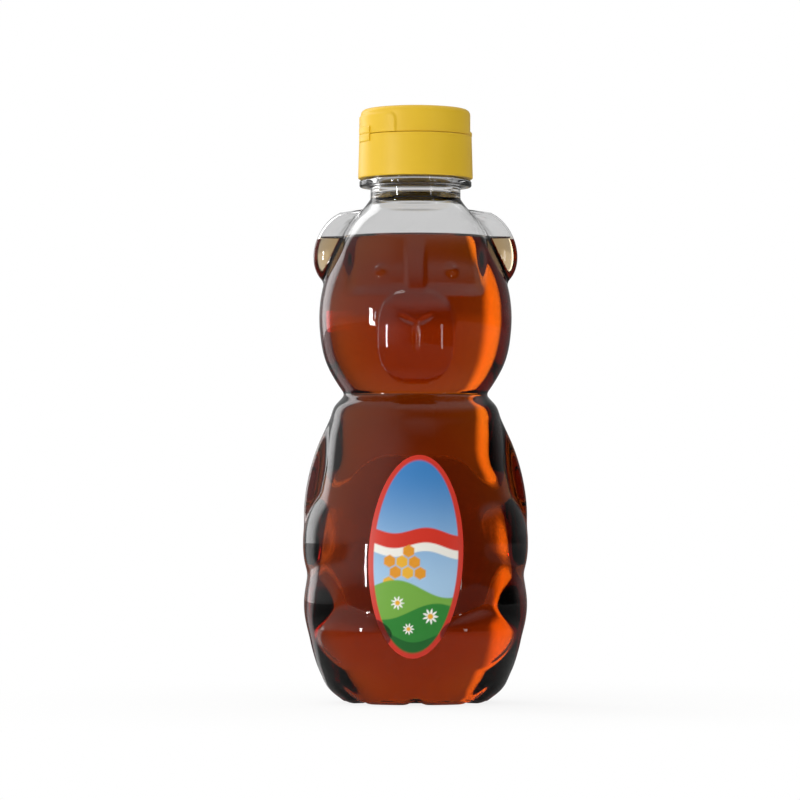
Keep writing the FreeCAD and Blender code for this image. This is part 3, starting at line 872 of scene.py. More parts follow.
@dataclass
class Bottle:
    """Blow-moulded bear bottle with its neck finish, and the syrup in it."""

    form: BearForm
    wall: float = 0.6
    floor: float = 0.8
    syrup_bite: float = 0.25
    fill_level: float = 133.5
    meniscus: float = 0.8
    push_rise: float = 5.0
    push_share: float = 0.76
    groove_depth: float = 1.1
    groove_half: float = 2.4
    groove_top: float = 7.0
    groove_count: int = 6
    first_level: float = 0.6
    shoulder_level: float = 145.0
    inner_shoulder: float = 143.0
    bore_level: float = 146.5
    bore_radius: float = 10.9
    neck_radius: float = 13.0
    ring_radius: float = 16.2
    ring_bottom: float = 148.6
    ring_top: float = 150.5
    finish_radius: float = 12.45
    rim: float = 161.1
    half_columns: int = 116
    outer_levels: int = 205
    inner_levels: int = 60

    def __post_init__(self) -> None:
        """Lays out the columns, from the front by the right side to the back, and mirrors them."""
        degrees = graded(-90.0, 90.0, self.half_columns + 1, (
            (0.0, 11.0, 2.2), (-35.0, 22.0, 0.7), (-62.0, 14.0, 0.5),
            (-90.0, 13.0, 2.4), (90.0, 35.0, -0.35),
        ))
        self.half_turns = np.radians(degrees)
        self.turns = np.concatenate([self.half_turns, np.pi - self.half_turns[-2:0:-1]])

    def mirrored(self, half: np.ndarray) -> np.ndarray:
        """Adds the left side's columns to the right side's."""
        return np.concatenate([half, half[:, -2:0:-1]], axis=1)

    def body_rows(self, levels: np.ndarray, inset: float) -> np.ndarray:
        """Rows of points round the bear.

        Args:
            levels: Height of each row.
            inset: How far inside the outer face.

        Returns:
            Points: row, column, coordinate.
        """
        radius = self.mirrored(self.form.radius(self.half_turns, levels, inset))
        groove = self.groove(radius) * (1 - smooth_step(levels, 1.0, self.groove_top))[:, None]
        radius = radius - self.groove_depth * groove
        level = np.broadcast_to(levels[:, None], radius.shape)
        return np.stack([radius * np.cos(self.turns), radius * np.sin(self.turns), level], axis=-1)

    def groove(self, radius: np.ndarray) -> np.ndarray:
        """Share of the full depth of the grooves that run out from the base's middle.

        Args:
            radius: Distance of each point from the axis, by row and column.

        Returns:
            One at a groove's middle, nothing between grooves.
        """
        spacing = 2 * np.pi / self.groove_count
        off = (self.turns - math.radians(FRONT_AZIMUTH) + spacing / 2) % spacing - spacing / 2
        return np.exp(-((off[None, :] * radius / self.groove_half) ** 2) * 1.5)

    def base_rows(self, first: np.ndarray, lift: float) -> tuple[np.ndarray, float]:
        """Rows under the bear, from the middle of the pushed-up base out to the first level.

        Args:
            first: First row round the bear.
            lift: Height of this face above the standing face.

        Returns:
            The rows, and the height of the middle.
        """
        shares = np.concatenate([np.linspace(0.06, 0.74, 16), np.linspace(0.77, 0.98, 9)])
        rise = self.push_rise * np.clip(1 - (shares / self.push_share) ** 2, 0, 1) ** 0.75
        edge = (first[0, 2] - lift) * smooth_step(shares, 0.9, 1.0)
        rows = first[None] * np.array([1.0, 1.0, 0.0]) * shares[:, None, None]
        radius = np.hypot(rows[..., 0], rows[..., 1])
        window = smooth_step(shares, 0.3, 0.6)[:, None]
        grooves = self.groove_depth * window * self.groove(radius)
        rows[..., 2] = lift + np.maximum(rise, edge)[:, None] + grooves
        return rows, lift + self.push_rise

    def neck_outline(self) -> list[Pair]:
        """Outline of the neck finish, from the shoulder up to the rim and down the bore."""
        return rounded([
            (self.neck_radius, self.shoulder_level + 0.7, 0.0),
            (self.neck_radius, self.ring_bottom, 0.6),
            (self.ring_radius, self.ring_bottom, 0.5),
            (self.ring_radius, self.ring_top, 0.5),
            (self.finish_radius, self.ring_top, 0.4),
            (self.finish_radius, self.rim, 0.5),
            (self.bore_radius, self.rim, 0.3),
            (self.bore_radius, self.bore_level, 0.0),
        ], 0.8, closed=False)

    def build_shell(self, finish: bpy.types.Material, wetted: bpy.types.Material) -> bpy.types.Object:
        """Builds the clear shell as one closed wall.

        Args:
            finish: Material of the outer face and the dry inner face.
            wetted: Material of the inner face that the syrup touches.

        Returns:
            The shell.
        """
        crowds = (
            (88.0, 3.5, 2.0), (108.0, 7.0, 1.0), (125.0, 8.0, 0.8), (20.0, 16.0, 0.3), (3.0, 3.0, 0.8),
        )
        levels = graded(self.first_level, self.shoulder_level, self.outer_levels, crowds)
        outer = self.body_rows(levels, 0.0)
        neck_share = smooth_step(outer[:, :1, 2], 141.0, self.shoulder_level)
        radius = np.hypot(outer[..., 0], outer[..., 1])
        grown = np.maximum(radius, self.neck_radius * neck_share)
        outer[..., :2] *= (grown / radius)[..., None]
        lower = graded(self.first_level + self.floor, self.fill_level, self.inner_levels, crowds)
        upper = np.linspace(self.fill_level, self.inner_shoulder, 14)[1:]
        inner = self.body_rows(np.concatenate([lower, upper]), self.wall)
        shares = smooth_step(np.linspace(0, 1, 8)[1:-1], 0, 1)[:, None, None]
        bore = turned_rows([(self.bore_radius, self.bore_level)], self.turns)[0]
        throat = inner[-1] * (1 - shares) + bore * shares
        base, middle = self.base_rows(outer[0], 0.0)
        inner_base, inner_middle = self.base_rows(inner[0], self.floor)
        neck = turned_rows(self.neck_outline(), self.turns)
        rows = np.concatenate([
            base, outer, neck, throat[::-1], inner[::-1], inner_base[::-1],
        ])
        shell = skin("bottle_wall", rows, [finish, wetted], (middle, inner_middle))
        dry_rows = len(base) + len(outer) + len(neck) + len(throat) + len(upper)
        columns = len(self.turns)
        wet = np.zeros(len(shell.data.polygons), dtype=np.int32)
        wet[dry_rows * columns:(len(rows) - 1) * columns] = 1
        wet[-columns:] = 1
        shell.data.polygons.foreach_set("material_index", wet)
        return shell

    def build_syrup(self, finish: bpy.types.Material) -> bpy.types.Object:
        """Builds the syrup, which wets the wall and climbs a little at its edge.

        Args:
            finish: Its material.

        Returns:
            The syrup.
        """
        crowds = ((88.0, 3.5, 1.5), (125.0, 8.0, 0.5))
        lift = self.floor - self.syrup_bite
        levels = graded(self.first_level + lift, self.fill_level + self.meniscus, 140, crowds)
        body = self.body_rows(levels, self.wall - self.syrup_bite)
        base, middle = self.base_rows(body[0], lift)
        edge = body[-1]
        reach = np.hypot(edge[:, 0], edge[:, 1])
        drops = np.array([0.3, 0.7, 1.2, 1.9, 3.0, 5.0, 8.0])
        top = []
        for drop in drops:
            row = edge * ((reach - drop) / reach)[:, None]
            row[:, 2] = self.fill_level + self.meniscus * math.exp(-drop / 0.8)
            top.append(row)
        for share in (0.7, 0.4, 0.12):
            row = top[len(drops) - 1] * share
            row[:, 2] = self.fill_level
            top.append(row)
        rows = np.concatenate([base, body, np.array(top)])
        syrup = skin("syrup", rows, [finish], (middle, self.fill_level))
        in_air = np.zeros(len(rows), dtype=np.float32)
        in_air[-len(top):] = 1.0
        poles = np.array([0.0, 1.0], dtype=np.float32)
        values = np.concatenate([np.repeat(in_air, len(self.turns)), poles])
        syrup.data.attributes.new("open_face", "FLOAT", "POINT").data.foreach_set("value", values)
        return syrup

    def thread(self) -> WoundRidge:
        """The thread round the neck finish."""
        return WoundRidge(
            "neck_thread", root_radius=self.finish_radius - 0.3, crest_radius=self.finish_radius + 1.2,
            start=154.1, pitch=4.2, turns=1.1, root_width=2.0, crest_width=1.0,
        )


@dataclass(frozen=True)
class Hill:
    """A hill on the sticker: the height, swing, shift and pace of its wavy top."""

    colour: str
    level: float
    swing: float
    shift: float
    pace: float

    def top(self, u: np.ndarray) -> np.ndarray:
        """Height of its top at each distance from the sticker's middle."""
        return self.level + self.swing * np.cos((u + self.shift) * self.pace)


@dataclass(frozen=True)
class Daisy:
    """A daisy on the sticker: where its middle is and how far its petals reach."""

    middle: Pair
    size: float
    petals: int = 9
    notch: float = 0.28
    heart: float = 0.36


@dataclass
class Sticker:
    """Oval sticker on a label panel, with a plain country design: comb, ribbon, hills and daisies."""

    form: BearForm
    side: Side
    half: Pair = (13.4, 28.7)
    level: float = 42.3
    tilt: float = 2.5
    bite: float = 0.05
    thickness: float = 0.18
    border: float = 1.5
    backing: str = "#F2F0EA"
    border_colour: str = "#D5321F"
    # Half the width over which one ink gives way to the next
    soft: float = 0.2
    sky_colours: tuple[str, str] = ("#A9CDEB", "#3B82C4")
    sky_levels: Pair = (-12.0, 26.0)
    # The ribbon's wavy middle, as a hill's top, and the colour, drop and half width of its two bands
    ribbon: Hill = Hill("#D8301C", 5.2, 1.0, -2.942, 0.33)
    ribbon_bands: tuple[tuple[str, float, float], ...] = (("#F4F1E8", 2.6, 1.9), ("#D8301C", 0.0, 2.1))
    hills: tuple[Hill, ...] = (
        Hill("#79B143", -9.0, 2.2, 5.0, 0.22),
        Hill("#2F8A34", -15.5, 2.6, -6.854, 0.2),
        Hill("#1D6B2B", -22.5, -1.6, 0.0, 0.3),
    )
    daisies: tuple[Daisy, ...] = (
        Daisy((-4.6, -13.2), 1.9),
        Daisy((4.8, -16.6), 2.2),
        Daisy((-1.2, -20.4), 1.6),
    )
    petal_colour: str = "#FAFAF4"
    heart_colour: str = "#F0AE1F"
    back_print_half: Pair = (12.6, 24.4)
    back_print_lift: float = 3.0
    columns: int = 140
    rows: int = 320
    comb_middle: Pair = (-5.6, -4.6)
    comb_pitch: float = 3.5
    comb_half: float = 0.45
    comb_colours: tuple[str, str] = ("#E99A22", "#F2B632")
    comb_cells: tuple[tuple[int, int], ...] = (
        (0, 0), (1, 0), (2, 0), (-1, 1), (0, 1), (1, 1), (0, -1), (0, 2),
    )

    def over(self, under: np.ndarray, colour: str, inside: np.ndarray) -> np.ndarray:
        """Prints an ink over what is there.

        Args:
            under: Linear colour that is there.
            colour: The ink.
            inside: Distance inside the printed form's edge, negative outside it.

        Returns:
            Linear colour of each point.
        """
        cover = smooth_step(inside, -self.soft, self.soft)[..., None]
        return under * (1 - cover) + np.array(linear(colour)[:3]) * cover

    def print_comb(self, ink: np.ndarray, u: np.ndarray, v: np.ndarray) -> np.ndarray:
        """Prints the comb's six-sided cells, in two shades by turns."""
        row_height = math.sqrt(3) / 2
        for column, row in self.comb_cells:
            off_u = np.abs(u - self.comb_middle[0] - self.comb_pitch * (column + row / 2))
            off_v = np.abs(v - self.comb_middle[1] - self.comb_pitch * row * row_height)
            across = np.maximum(off_u, off_u / 2 + off_v * row_height)
            shade = self.comb_colours[(column + row) % 2]
            ink = self.over(ink, shade, self.comb_pitch * self.comb_half - across)
        return ink

    def print_daisies(self, ink: np.ndarray, u: np.ndarray, v: np.ndarray) -> np.ndarray:
        """Prints each daisy's petals and its heart."""
        for daisy in self.daisies:
            off_u, off_v = u - daisy.middle[0], v - daisy.middle[1]
            reach = np.hypot(off_u, off_v)
            petals = 1 - daisy.notch + daisy.notch * np.cos(np.arctan2(off_v, off_u) * daisy.petals)
            ink = self.over(ink, self.petal_colour, daisy.size * petals - reach)
            ink = self.over(ink, self.heart_colour, daisy.size * daisy.heart - reach)
        return ink

    def artwork(self, u: np.ndarray, v: np.ndarray) -> np.ndarray:
        """Colours the printed face.

        Args:
            u: Distance to the right of the sticker's middle.
            v: Distance above it.

        Returns:
            Linear colour of each point.
        """
        if self.side is Side.BACK:
            return np.broadcast_to(linear(self.backing)[:3], (*u.shape, 3))
        low, high = (np.array(linear(colour)[:3]) for colour in self.sky_colours)
        ink = low + (high - low) * smooth_step(v, *self.sky_levels)[..., None]
        for colour, drop, half_width in self.ribbon_bands:
            ink = self.over(ink, colour, half_width - np.abs(v - self.ribbon.top(u) + drop))
        ink = self.print_comb(ink, u, v)
        for hill in self.hills:
            ink = self.over(ink, hill.colour, hill.top(u) - v)
        ink = self.print_daisies(ink, u, v)
        inner_half = self.half[0] - self.border
        oval = np.hypot(u / inner_half, v / (self.half[1] - self.border))
        return self.over(ink, self.border_colour, (oval - 1) * inner_half)

    def bare_film(self, u: np.ndarray, v: np.ndarray) -> np.ndarray:
        """Share of clear film without ink: the margin of the back sticker, round its printed oval."""
        if self.side is Side.FRONT:
            return np.zeros_like(u)
        oval = np.hypot(u / self.back_print_half[0], (v - self.back_print_lift) / self.back_print_half[1])
        return smooth_step((oval - 1) * self.back_print_half[0], -self.soft, self.soft)

    def build(self, print_finish: bpy.types.Material, name: str) -> bpy.types.Object:
        """Lays the sticker on its panel and prints it.

        Args:
            print_finish: Material of the printed film.
            name: Name of the piece.

        Returns:
            The sticker.
        """
        across = np.linspace(-1, 1, self.columns)
        up = np.linspace(-1, 1, self.rows)
        v = self.half[1] * np.repeat(np.sin(up * math.pi / 2)[:, None], self.columns, axis=1)
        u = self.half[0] * np.cos(up * math.pi / 2)[:, None] * across[None, :]
        sign = self.side.value
        lean = math.radians(self.tilt)
        x = -sign * (u * math.cos(lean) + v * math.sin(lean))
        z = self.level + v * math.cos(lean) - u * math.sin(lean)
        layers = [
            np.stack([x, sign * self.form.panel_face(x, z, proud), z], axis=-1)
            for proud in (self.thickness, -self.bite)
        ]
        count = u.size
        corner = np.arange(count).reshape(u.shape)
        loops = [corner[:-1, :-1], corner[:-1, 1:], corner[1:, 1:], corner[1:, :-1]]
        face = np.stack(loops, axis=-1).reshape(-1, 4)
        rim = np.concatenate([corner[0, :-1], corner[:-1, -1], corner[-1, :0:-1], corner[:0:-1, 0]])
        after = np.roll(rim, -1)
        edge = np.stack([rim, rim + count, after + count, after], axis=-1)
        faces = np.concatenate([face, face[:, ::-1] + count, edge]).tolist()
        points = (np.concatenate(layers).reshape(-1, 3) * MM).tolist()
        sticker = new_piece(name, points, faces, [print_finish])
        mesh = sticker.data
        rgba = np.ones((2 * count, 4), dtype=np.float32)
        rgba[:count, :3] = self.artwork(u, v).reshape(-1, 3)
        rgba[count:, :3] = linear(self.backing)[:3]
        mesh.color_attributes.new("ink", "FLOAT_COLOR", "POINT").data.foreach_set("color", rgba.ravel())
        bare = np.tile(self.bare_film(u, v).ravel(), 2).astype(np.float32)
        printed = np.repeat(np.array([1.0, 0.0], dtype=np.float32), count)
        for label, values in (("bare_film", bare), ("printed_face", printed)):
            mesh.attributes.new(label, "FLOAT", "POINT").data.foreach_set("value", values)
        close_points(mesh)
        mesh.shade_smooth()
        return sticker


@dataclass
class ScrewCap:
    """Screw cap with a deck, a snap rim and a spout."""

    radius: float = 16.25
    flare: float = 0.35
    skirt_inner: float = 14.1
    bottom: float = 151.0
    deck_bottom: float = 162.0
    seam: float = 163.3
    snap_outer: float = 14.3
    snap_inner: float = 13.3
    snap_rise: float = 1.1
    spout_root: float = 4.2
    spout_tip: float = 3.4
    spout_rise: float = 3.1
    orifice: float = 2.4
    columns: int = 192

    def build(self, finish: bpy.types.Material) -> bpy.types.Object:
        """Turns the cap base.

        Args:
            finish: Its material.

        Returns:
            The cap base.
        """
        outline = rounded([
            (self.orifice, self.deck_bottom, 0.2),
            (self.skirt_inner, self.deck_bottom, 0.3),
            (self.skirt_inner, self.bottom, 0.25),
            (self.radius + self.flare, self.bottom, 0.35),
            (self.radius, self.seam, 0.3),
            (self.snap_outer, self.seam, 0.2),
            (self.snap_outer, self.seam + self.snap_rise, 0.25),
            (self.snap_inner, self.seam + self.snap_rise, 0.25),
            (self.snap_inner, self.seam, 0.3),
            (self.spout_root, self.seam, 0.5),
            (self.spout_tip, self.seam + self.spout_rise, 0.35),
            (self.orifice, self.seam + self.spout_rise, 0.25),
        ], 0.9, closed=True)
        turns = np.linspace(0, 2 * np.pi, self.columns, endpoint=False)
        return skin("cap_skirt", turned_rows(outline, turns), [finish], ring=True)

    def thread(self) -> WoundRidge:
        """The thread inside the skirt."""
        return WoundRidge("cap_thread", self.skirt_inner + 0.3, 12.9, 152.0, 4.2, 1.0, 1.8, 0.9)


@dataclass
class FlipLid:
    """Flip lid: domed, with a plug pin, a raised panel at the hinge and a lip for the thumb."""

    radius: float = 15.85
    flush_radius: float = 16.25
    inner: float = 14.6
    bottom: float = 163.42
    edge: float = 170.82
    top: float = 171.92
    corner: float = 1.6
    wall: float = 1.1
    pin: float = 2.1
    pin_bottom: float = 165.4
    hinge_azimuth: float = 204.0
    panel_half_angle: float = 45.0
    panel_top: float = 169.02
    panel_corner: float = 2.2
    lip_half_angle: float = 16.0
    lip_reach: float = 0.94
    lip_rise: float = 1.7
    columns: int = 360

    def push(self, turn: np.ndarray, radius: np.ndarray, level: np.ndarray) -> np.ndarray:
        """Raises the hinge panel and the thumb lip from the lid's side.

        Args:
            turn: Azimuth of each point, in radians.
            radius: Its distance from the axis.
            level: Its height.

        Returns:
            How much further out it goes.
        """
        outside = radius > self.radius - 0.4
        off = (turn - math.radians(self.hinge_azimuth) + np.pi) % (2 * np.pi) - np.pi
        panel_half = math.radians(self.panel_half_angle) * self.radius
        beside = np.abs(off) * self.radius - panel_half + self.panel_corner
        above = level - self.panel_top + self.panel_corner
        past = np.hypot(np.maximum(beside, 0), np.maximum(above, 0)) - self.panel_corner
        panel = (self.flush_radius - self.radius) * (1 - smooth_step(past, -0.25, 0.2))
        away = np.pi - np.abs(off)
        lip_side = away * self.radius - math.radians(self.lip_half_angle) * self.radius
        lip = self.lip_reach * (1 - smooth_step(lip_side, -1.2, 0.4))
        lip = lip * (1 - smooth_step(level - self.bottom, self.lip_rise - 0.5, self.lip_rise + 0.4))
        return np.where(outside, panel + lip, 0.0)

    def build(self, finish: bpy.types.Material) -> bpy.types.Object:
        """Turns the lid.

        Args:
            finish: Its material.

        Returns:
            The lid.
        """
        ceiling = self.edge - self.wall
        dome = (self.radius**2 + (self.top - self.edge) ** 2) / (2 * (self.top - self.edge))
        crown = [
            (out, self.top - dome + math.sqrt(dome**2 - out**2), 0.0)
            for out in np.linspace(self.radius - self.corner - 0.6, 0.15, 12)
        ]
        outline = rounded([
            (0.0, self.pin_bottom, 0.0),
            (self.pin, self.pin_bottom, 0.3),
            (self.pin, ceiling + 0.4, 0.4),
            (self.inner, ceiling, 1.0),
            (self.inner, self.bottom, 0.2),
            (self.radius, self.bottom, 0.25),
            (self.radius, self.edge, self.corner),
            *crown,
        ], 0.35, closed=False)[1:]
        outline.insert(0, (0.3, self.pin_bottom))
        turns = np.linspace(0, 2 * np.pi, self.columns, endpoint=False)
        rows = turned_rows(outline, turns, self.push)
        return skin("lid_shell", rows, [finish], (self.pin_bottom, self.top))


@dataclass
class LivingHinge:
    """Strap that joins the lid to the cap and bends along a thin groove."""

    azimuth: float = 204.0
    half_angle: float = 12.5
    inner: float = 16.2
    thickness: float = 0.42
    groove: float = 0.2
    level: float = 163.36
    reach: float = 2.2
    fold_half: float = 0.5

    def build(self, finish: bpy.types.Material) -> bpy.types.Object:
        """Builds the strap, thin on the hinge line, straight across the seam between cap and lid.

        Args:
            finish: Its material.

        Returns:
            The strap.
        """
        levels = np.linspace(-self.reach, self.reach, 41)
        turns = np.radians(self.azimuth + np.linspace(-self.half_angle, self.half_angle, 25))
        edge = np.clip((self.reach - np.abs(levels)) / 0.4, 0, 1) ** 0.5
        depth = self.thickness * (0.35 + 0.65 * edge) - self.groove * np.exp(-((levels / 0.22) ** 2))
        section = [(self.inner, up) for up in levels[::-1]]
        section += [(self.inner + out, up) for out, up in zip(depth, levels)]
        rows = np.array([
            [(out * math.cos(turn), out * math.sin(turn), self.level + up) for out, up in section]
            for turn in turns
        ])
        count, around = rows.shape[:2]
        faces = [tuple(range(around)), tuple(reversed(range((count - 1) * around, count * around)))]
        for row in range(count - 1):
            for spot in range(around):
                after = (spot + 1) % around
                low, high = row * around, (row + 1) * around
                faces.append((low + after, low + spot, high + spot, high + after))
        return new_piece("hinge_strap", list(map(tuple, rows.reshape(-1, 3) * MM)), faces, [finish])


@dataclass(frozen=True)
class Lamp:
    """A soft rectangular lamp that faces the bear. Places and sizes are in metres."""

    name: str
    place: Triple
    size: Pair
    watts: float
    aim: Triple = (0.0, 0.0, 0.09)

    def build(self) -> None:
        """Hangs the lamp."""
        light = bpy.data.lights.new(self.name, "AREA")
        light.shape = "RECTANGLE"
        light.size, light.size_y = self.size
        light.energy = self.watts
        holder = bpy.data.objects.new(self.name, light)
        holder.location = self.place
        aim = np.array(self.aim) - np.array(self.place)
        flat = math.hypot(aim[0], aim[1])
        holder.rotation_euler = (math.atan2(flat, -aim[2]), 0.0, math.atan2(-aim[0], aim[1]))
        bpy.context.scene.collection.objects.link(holder)


@dataclass
class Studio:
    """Pale floor, soft light, and a camera where the photograph was taken from.

    The camera sees white. Light that has gone through the bear, or that its gloss throws back, comes from a
    grey room with a bright window behind the bear at the left, which gives clear parts and edges their look.
    The table in that room has a painted shadow under the bear and a painted pool of the window's light.
    """

    frame_pixels: int = 800
    scale: float = 0.2885
    axis_pixel: float = 415.5
    base_pixel: float = 702.0
    distance: float = 1100.0
    camera_height: float = 57.0
    sensor: float = 36.0
    floor_half: float = 3000.0
    floor_colour: str = "#F4F4F2"
    # Share of plain white in the floor, from beside the bear to where its shadow ends
    white_share: Pair = (0.85, 1.0)
    white_reach: Pair = (50.0, 170.0)
    # Brightness of the table in glass, from near to far, and the share of it left in the painted shadow of
    # the bear under it
    table_level: Pair = (0.3, 0.44)
    table_reach: Pair = (200.0, 1200.0)
    painted_shadow_share: Pair = (0.8, 1.0)
    painted_shadow_reach: Pair = (30.0, 150.0)
    table_gloss: float = 0.3
    # Brightness of the room: its dark side, its pale side from the horizon up, and its ceiling
    dark_level: float = 0.06
    pale_level: Pair = (0.44, 0.66)
    ceiling_level: float = 0.5
    # Least brightness behind glass, brightness for matt faces from right to left, and what gloss loses
    through_level: float = 0.45
    soft_level: Pair = (0.1, 0.62)
    gloss_loss: Pair = (0.35, 0.7)
    # Where each of these starts and ends, as the X, Y or Z of the direction
    behind_ways: Pair = (0.2, 0.85)
    left_ways: Pair = (0.1, -0.8)
    horizon_ways: Pair = (0.0, 0.08)
    ceiling_ways: Pair = (0.3, 0.7)
    soft_ways: Pair = (0.9, -0.6)
    right_ways: Pair = (0.0, 0.45)
    # The bright window behind the bear, and how near its direction counts
    glow_level: float = 2.2
    glow_way: Triple = (-0.73, 0.68, 0.0)
    glow_near: Pair = (0.955, 0.995)
    lamps: tuple[Lamp, ...] = (
        Lamp("window", (-0.85, -0.75, 0.14), (0.07, 0.22), 1.7),
        Lamp("fill", (0.75, -0.9, 0.14), (0.1, 0.24), 0.25),
    )

    def seen(self, tree: bpy.types.NodeTree) -> bpy.types.NodeSocket:
        """One for rays that show the background to the eye, straight or in gloss and glass."""
        rays = add_node(tree, "ShaderNodeLightPath").outputs
        shown = reckon(tree, "MAXIMUM", rays["Is Camera Ray"], rays["Is Glossy Ray"])
        return reckon(tree, "MAXIMUM", shown, rays["Is Transmission Ray"])

    def thrown_back(self, tree: bpy.types.NodeTree) -> bpy.types.NodeSocket:
        """One for rays that gloss throws back, and nothing for rays that have gone through."""
        rays = add_node(tree, "ShaderNodeLightPath").outputs
        return reckon(tree, "SUBTRACT", rays["Is Glossy Ray"], rays["Is Transmission Ray"], use_clamp=True)

    def glow(self, tree: bpy.types.NodeTree, way: bpy.types.NodeSocket) -> bpy.types.NodeSocket:
        """Brightness that the bright window adds in the directions that lead to it: light from the sky, and
        on the floor a painted pool of the window's light.

        Args:
            tree: Tree that gets the nodes.
            way: Direction from the bear.

        Returns:
            The socket with the added brightness.
        """
        flat = add_node(tree, "ShaderNodeVectorMath", {0: way, 1: (1.0, 1.0, 0.0)}, operation="MULTIPLY")
        level = add_node(tree, "ShaderNodeVectorMath", {0: flat.outputs["Vector"]}, operation="NORMALIZE")
        near = add_node(tree, "ShaderNodeVectorMath", {
            0: level.outputs["Vector"], 1: self.glow_way,
        }, operation="DOT_PRODUCT")
        return ramp(tree, near.outputs["Value"], self.glow_near, (0.0, self.glow_level))

    def build_floor(self) -> None:
        """Lays the floor, which shows white, keeps a soft shadow and is a grey table to glass, with a
        painted shadow under the bear and a painted pool of the window's light.
        """
        material, tree, output = new_material("studio_floor")
        place = add_node(tree, "ShaderNodeTexCoord").outputs["Object"]
        length = add_node(tree, "ShaderNodeVectorMath", {0: place}, operation="LENGTH").outputs["Value"]
        away = reckon(tree, "DIVIDE", length, MM)
        table = ramp(tree, away, self.table_reach, self.table_level, smooth=False)
        # Painted shadow of the bear: the table that glass and gloss show is darker close under it
        under = ramp(tree, away, self.painted_shadow_reach, self.painted_shadow_share, smooth=False)
        # Painted pool of the window's light on the table, in the window's direction
        table = reckon(tree, "ADD", reckon(tree, "MULTIPLY", table, under), self.glow(tree, place))
        gloss = ramp(tree, self.thrown_back(tree), (0.0, 1.0), (1.0, self.table_gloss), smooth=False)
        table = reckon(tree, "MULTIPLY", table, gloss)
        straight = add_node(tree, "ShaderNodeLightPath").outputs["Is Camera Ray"]
        level = ramp(tree, straight, (0.0, 1.0), (table, 1.0), smooth=False)
        cover = ramp(tree, away, self.white_reach, self.white_share)
        share = reckon(tree, "MULTIPLY", self.seen(tree), cover)
        paint = add_node(tree, "ShaderNodeBsdfDiffuse", {"Color": linear(self.floor_colour)})
        shine = add_node(tree, "ShaderNodeEmission", {"Strength": level})
        mixed = add_node(tree, "ShaderNodeMixShader", {
            0: share, 1: paint.outputs["BSDF"], 2: shine.outputs["Emission"],
        })
        tree.links.new(mixed.outputs["Shader"], output.inputs["Surface"])
        size = self.floor_half * MM
        corners = [(-size, -size, 0.0), (size, -size, 0.0), (size, size, 0.0), (-size, size, 0.0)]
        new_piece("floor", corners, [(0, 1, 2, 3)], [material])

    def build_sky(self) -> None:
        """Sets the surroundings: white to the camera, a grey room to glass and gloss, else soft light."""
        world = bpy.data.worlds.new("studio")
        world.use_nodes = True
        bpy.context.scene.world = world
        tree = world.node_tree
        tree.nodes.clear()
        way = add_node(tree, "ShaderNodeTexCoord").outputs["Generated"]
        part = add_node(tree, "ShaderNodeSeparateXYZ", {"Vector": way}).outputs
        rays = add_node(tree, "ShaderNodeLightPath").outputs
        behind = ramp(tree, part["Y"], self.behind_ways, (0.0, 1.0))
        left = ramp(tree, part["X"], self.left_ways, (0.0, 1.0))
        pale = ramp(tree, part["Z"], self.horizon_ways, self.pale_level)
        open_side = reckon(tree, "MAXIMUM", behind, left)
        level = ramp(tree, open_side, (0.0, 1.0), (self.dark_level, pale), smooth=False)
        loss = ramp(tree, part["X"], self.right_ways, self.gloss_loss)
        loss = reckon(tree, "MULTIPLY", loss, self.thrown_back(tree))
        level = reckon(tree, "MULTIPLY", level, reckon(tree, "SUBTRACT", 1.0, loss))
        ceiling = ramp(tree, part["Z"], self.ceiling_ways, (0.0, self.ceiling_level))
        level = reckon(tree, "MAXIMUM", level, ceiling)
        level = reckon(tree, "ADD", level, self.glow(tree, way))
        soft = ramp(tree, part["X"], self.soft_ways, self.soft_level, smooth=False)
        level = reckon(tree, "ADD", level, reckon(tree, "MULTIPLY", rays["Is Diffuse Ray"], soft))
        through = reckon(tree, "MULTIPLY", rays["Is Transmission Ray"], self.through_level)
        level = reckon(tree, "MAXIMUM", level, through)
        level = ramp(tree, rays["Is Camera Ray"], (0.0, 1.0), (level, 1.0), smooth=False)
        sky = add_node(tree, "ShaderNodeBackground", {"Color": linear("#FFFFFF"), "Strength": level})
        add_node(tree, "ShaderNodeOutputWorld", {"Surface": sky.outputs["Background"]})

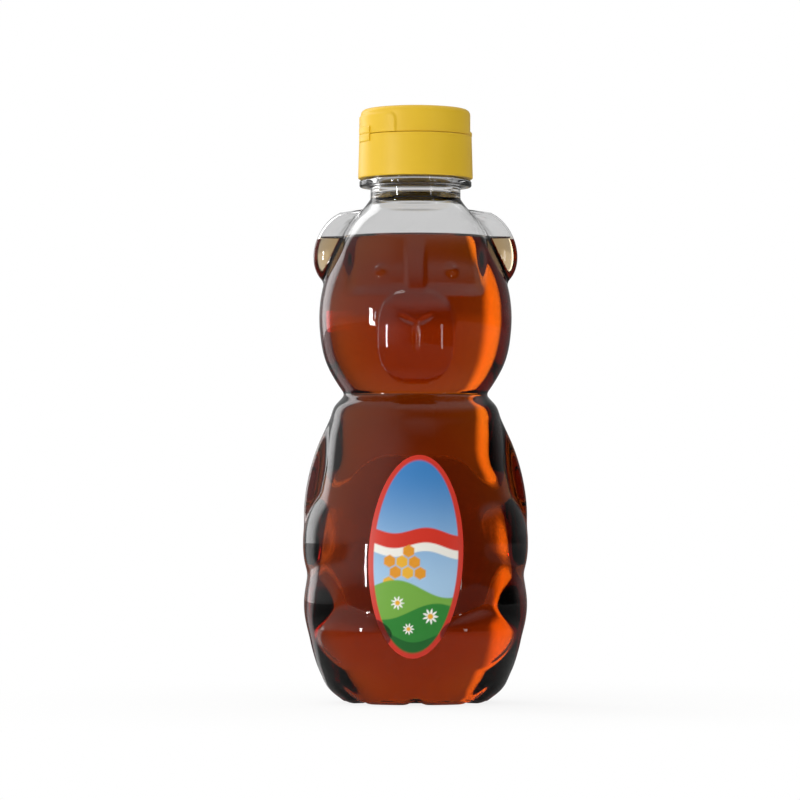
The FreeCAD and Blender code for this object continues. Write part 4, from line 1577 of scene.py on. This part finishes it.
    def build_camera(self) -> None:
        """Stands the camera in front of the bear, low and looking slightly up."""
        centre = self.frame_pixels / 2
        aim_x = (centre - self.axis_pixel) * self.scale
        aim_z = (self.base_pixel - centre) * self.scale
        camera = bpy.data.cameras.new("camera")
        camera.sensor_fit = "HORIZONTAL"
        camera.sensor_width = self.sensor
        camera.lens = camera.sensor_width * self.distance / (self.frame_pixels * self.scale)
        camera.clip_start = 0.01
        holder = bpy.data.objects.new("camera", camera)
        holder.location = (aim_x * MM, -self.distance * MM, self.camera_height * MM)
        pitch = math.atan2(aim_z - self.camera_height, self.distance)
        holder.rotation_euler = (math.pi / 2 + pitch, 0.0, 0.0)
        bpy.context.scene.collection.objects.link(holder)
        bpy.context.scene.camera = holder

    def build(self) -> None:
        """Sets up floor, light and camera."""
        self.build_floor()
        self.build_sky()
        for lamp in self.lamps:
            lamp.build()
        self.build_camera()
        bpy.context.scene.view_settings.view_transform = "Standard"


def main() -> None:
    """Builds each piece, seats all but the hinge strap and the washer on their bodies, and sets up the
    studio.
    """
    logging.basicConfig(level=logging.INFO, format="%(name)s: %(message)s")
    pet = ClearPet().make()
    wetted = ClearPet(name="pet_wetted_by_syrup", ior=ClearPet.ior / AmberSyrup.ior).make()
    films = {
        Side.FRONT: PrintedFilm(),
        Side.BACK: PrintedFilm("printed_pp_film_translucent", light_through=0.97),
    }
    yellow = MouldedPolypropylene("polypropylene_yellow", "#F0C62E", "#E8BB22").make()
    form = BearForm()
    bottle = Bottle(form)
    seat(bottle.build_shell(pet, wetted), Body.BOTTLE, Slot.PET, "bottle_shell")
    seat(bottle.thread().build(pet), Body.BOTTLE, Slot.PET)
    seat(bottle.build_syrup(AmberSyrup().make()), Body.BOTTLE, Slot.SYRUP, "syrup_fill")
    for side in Side:
        node = f"{side.name.lower()}_label"
        tilt = Sticker.tilt if side is Side.FRONT else 0.0
        sticker = Sticker(form, side, tilt=tilt).build(films[side].make(), f"{side.name.lower()}_sticker")
        seat(sticker, Body.BOTTLE, Slot.FILM, node)
    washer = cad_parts["seal_washer"]
    washer.data.materials.clear()
    washer.data.materials.append(FoamLiner().make())
    cap = ScrewCap()
    seat(cap.build(yellow), Body.CAP, Slot.CAP, "cap_base")
    seat(cap.thread().build(yellow), Body.CAP, Slot.CAP)
    seat(FlipLid().build(yellow), Body.LID, Slot.CAP, "flip_lid")
    hinge = LivingHinge()
    strap = hinge.build(yellow)
    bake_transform(strap)
    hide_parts("hinge_film", "hinge_lid_leaf")
    Studio().build()


if __name__ == "__main__":
    main()
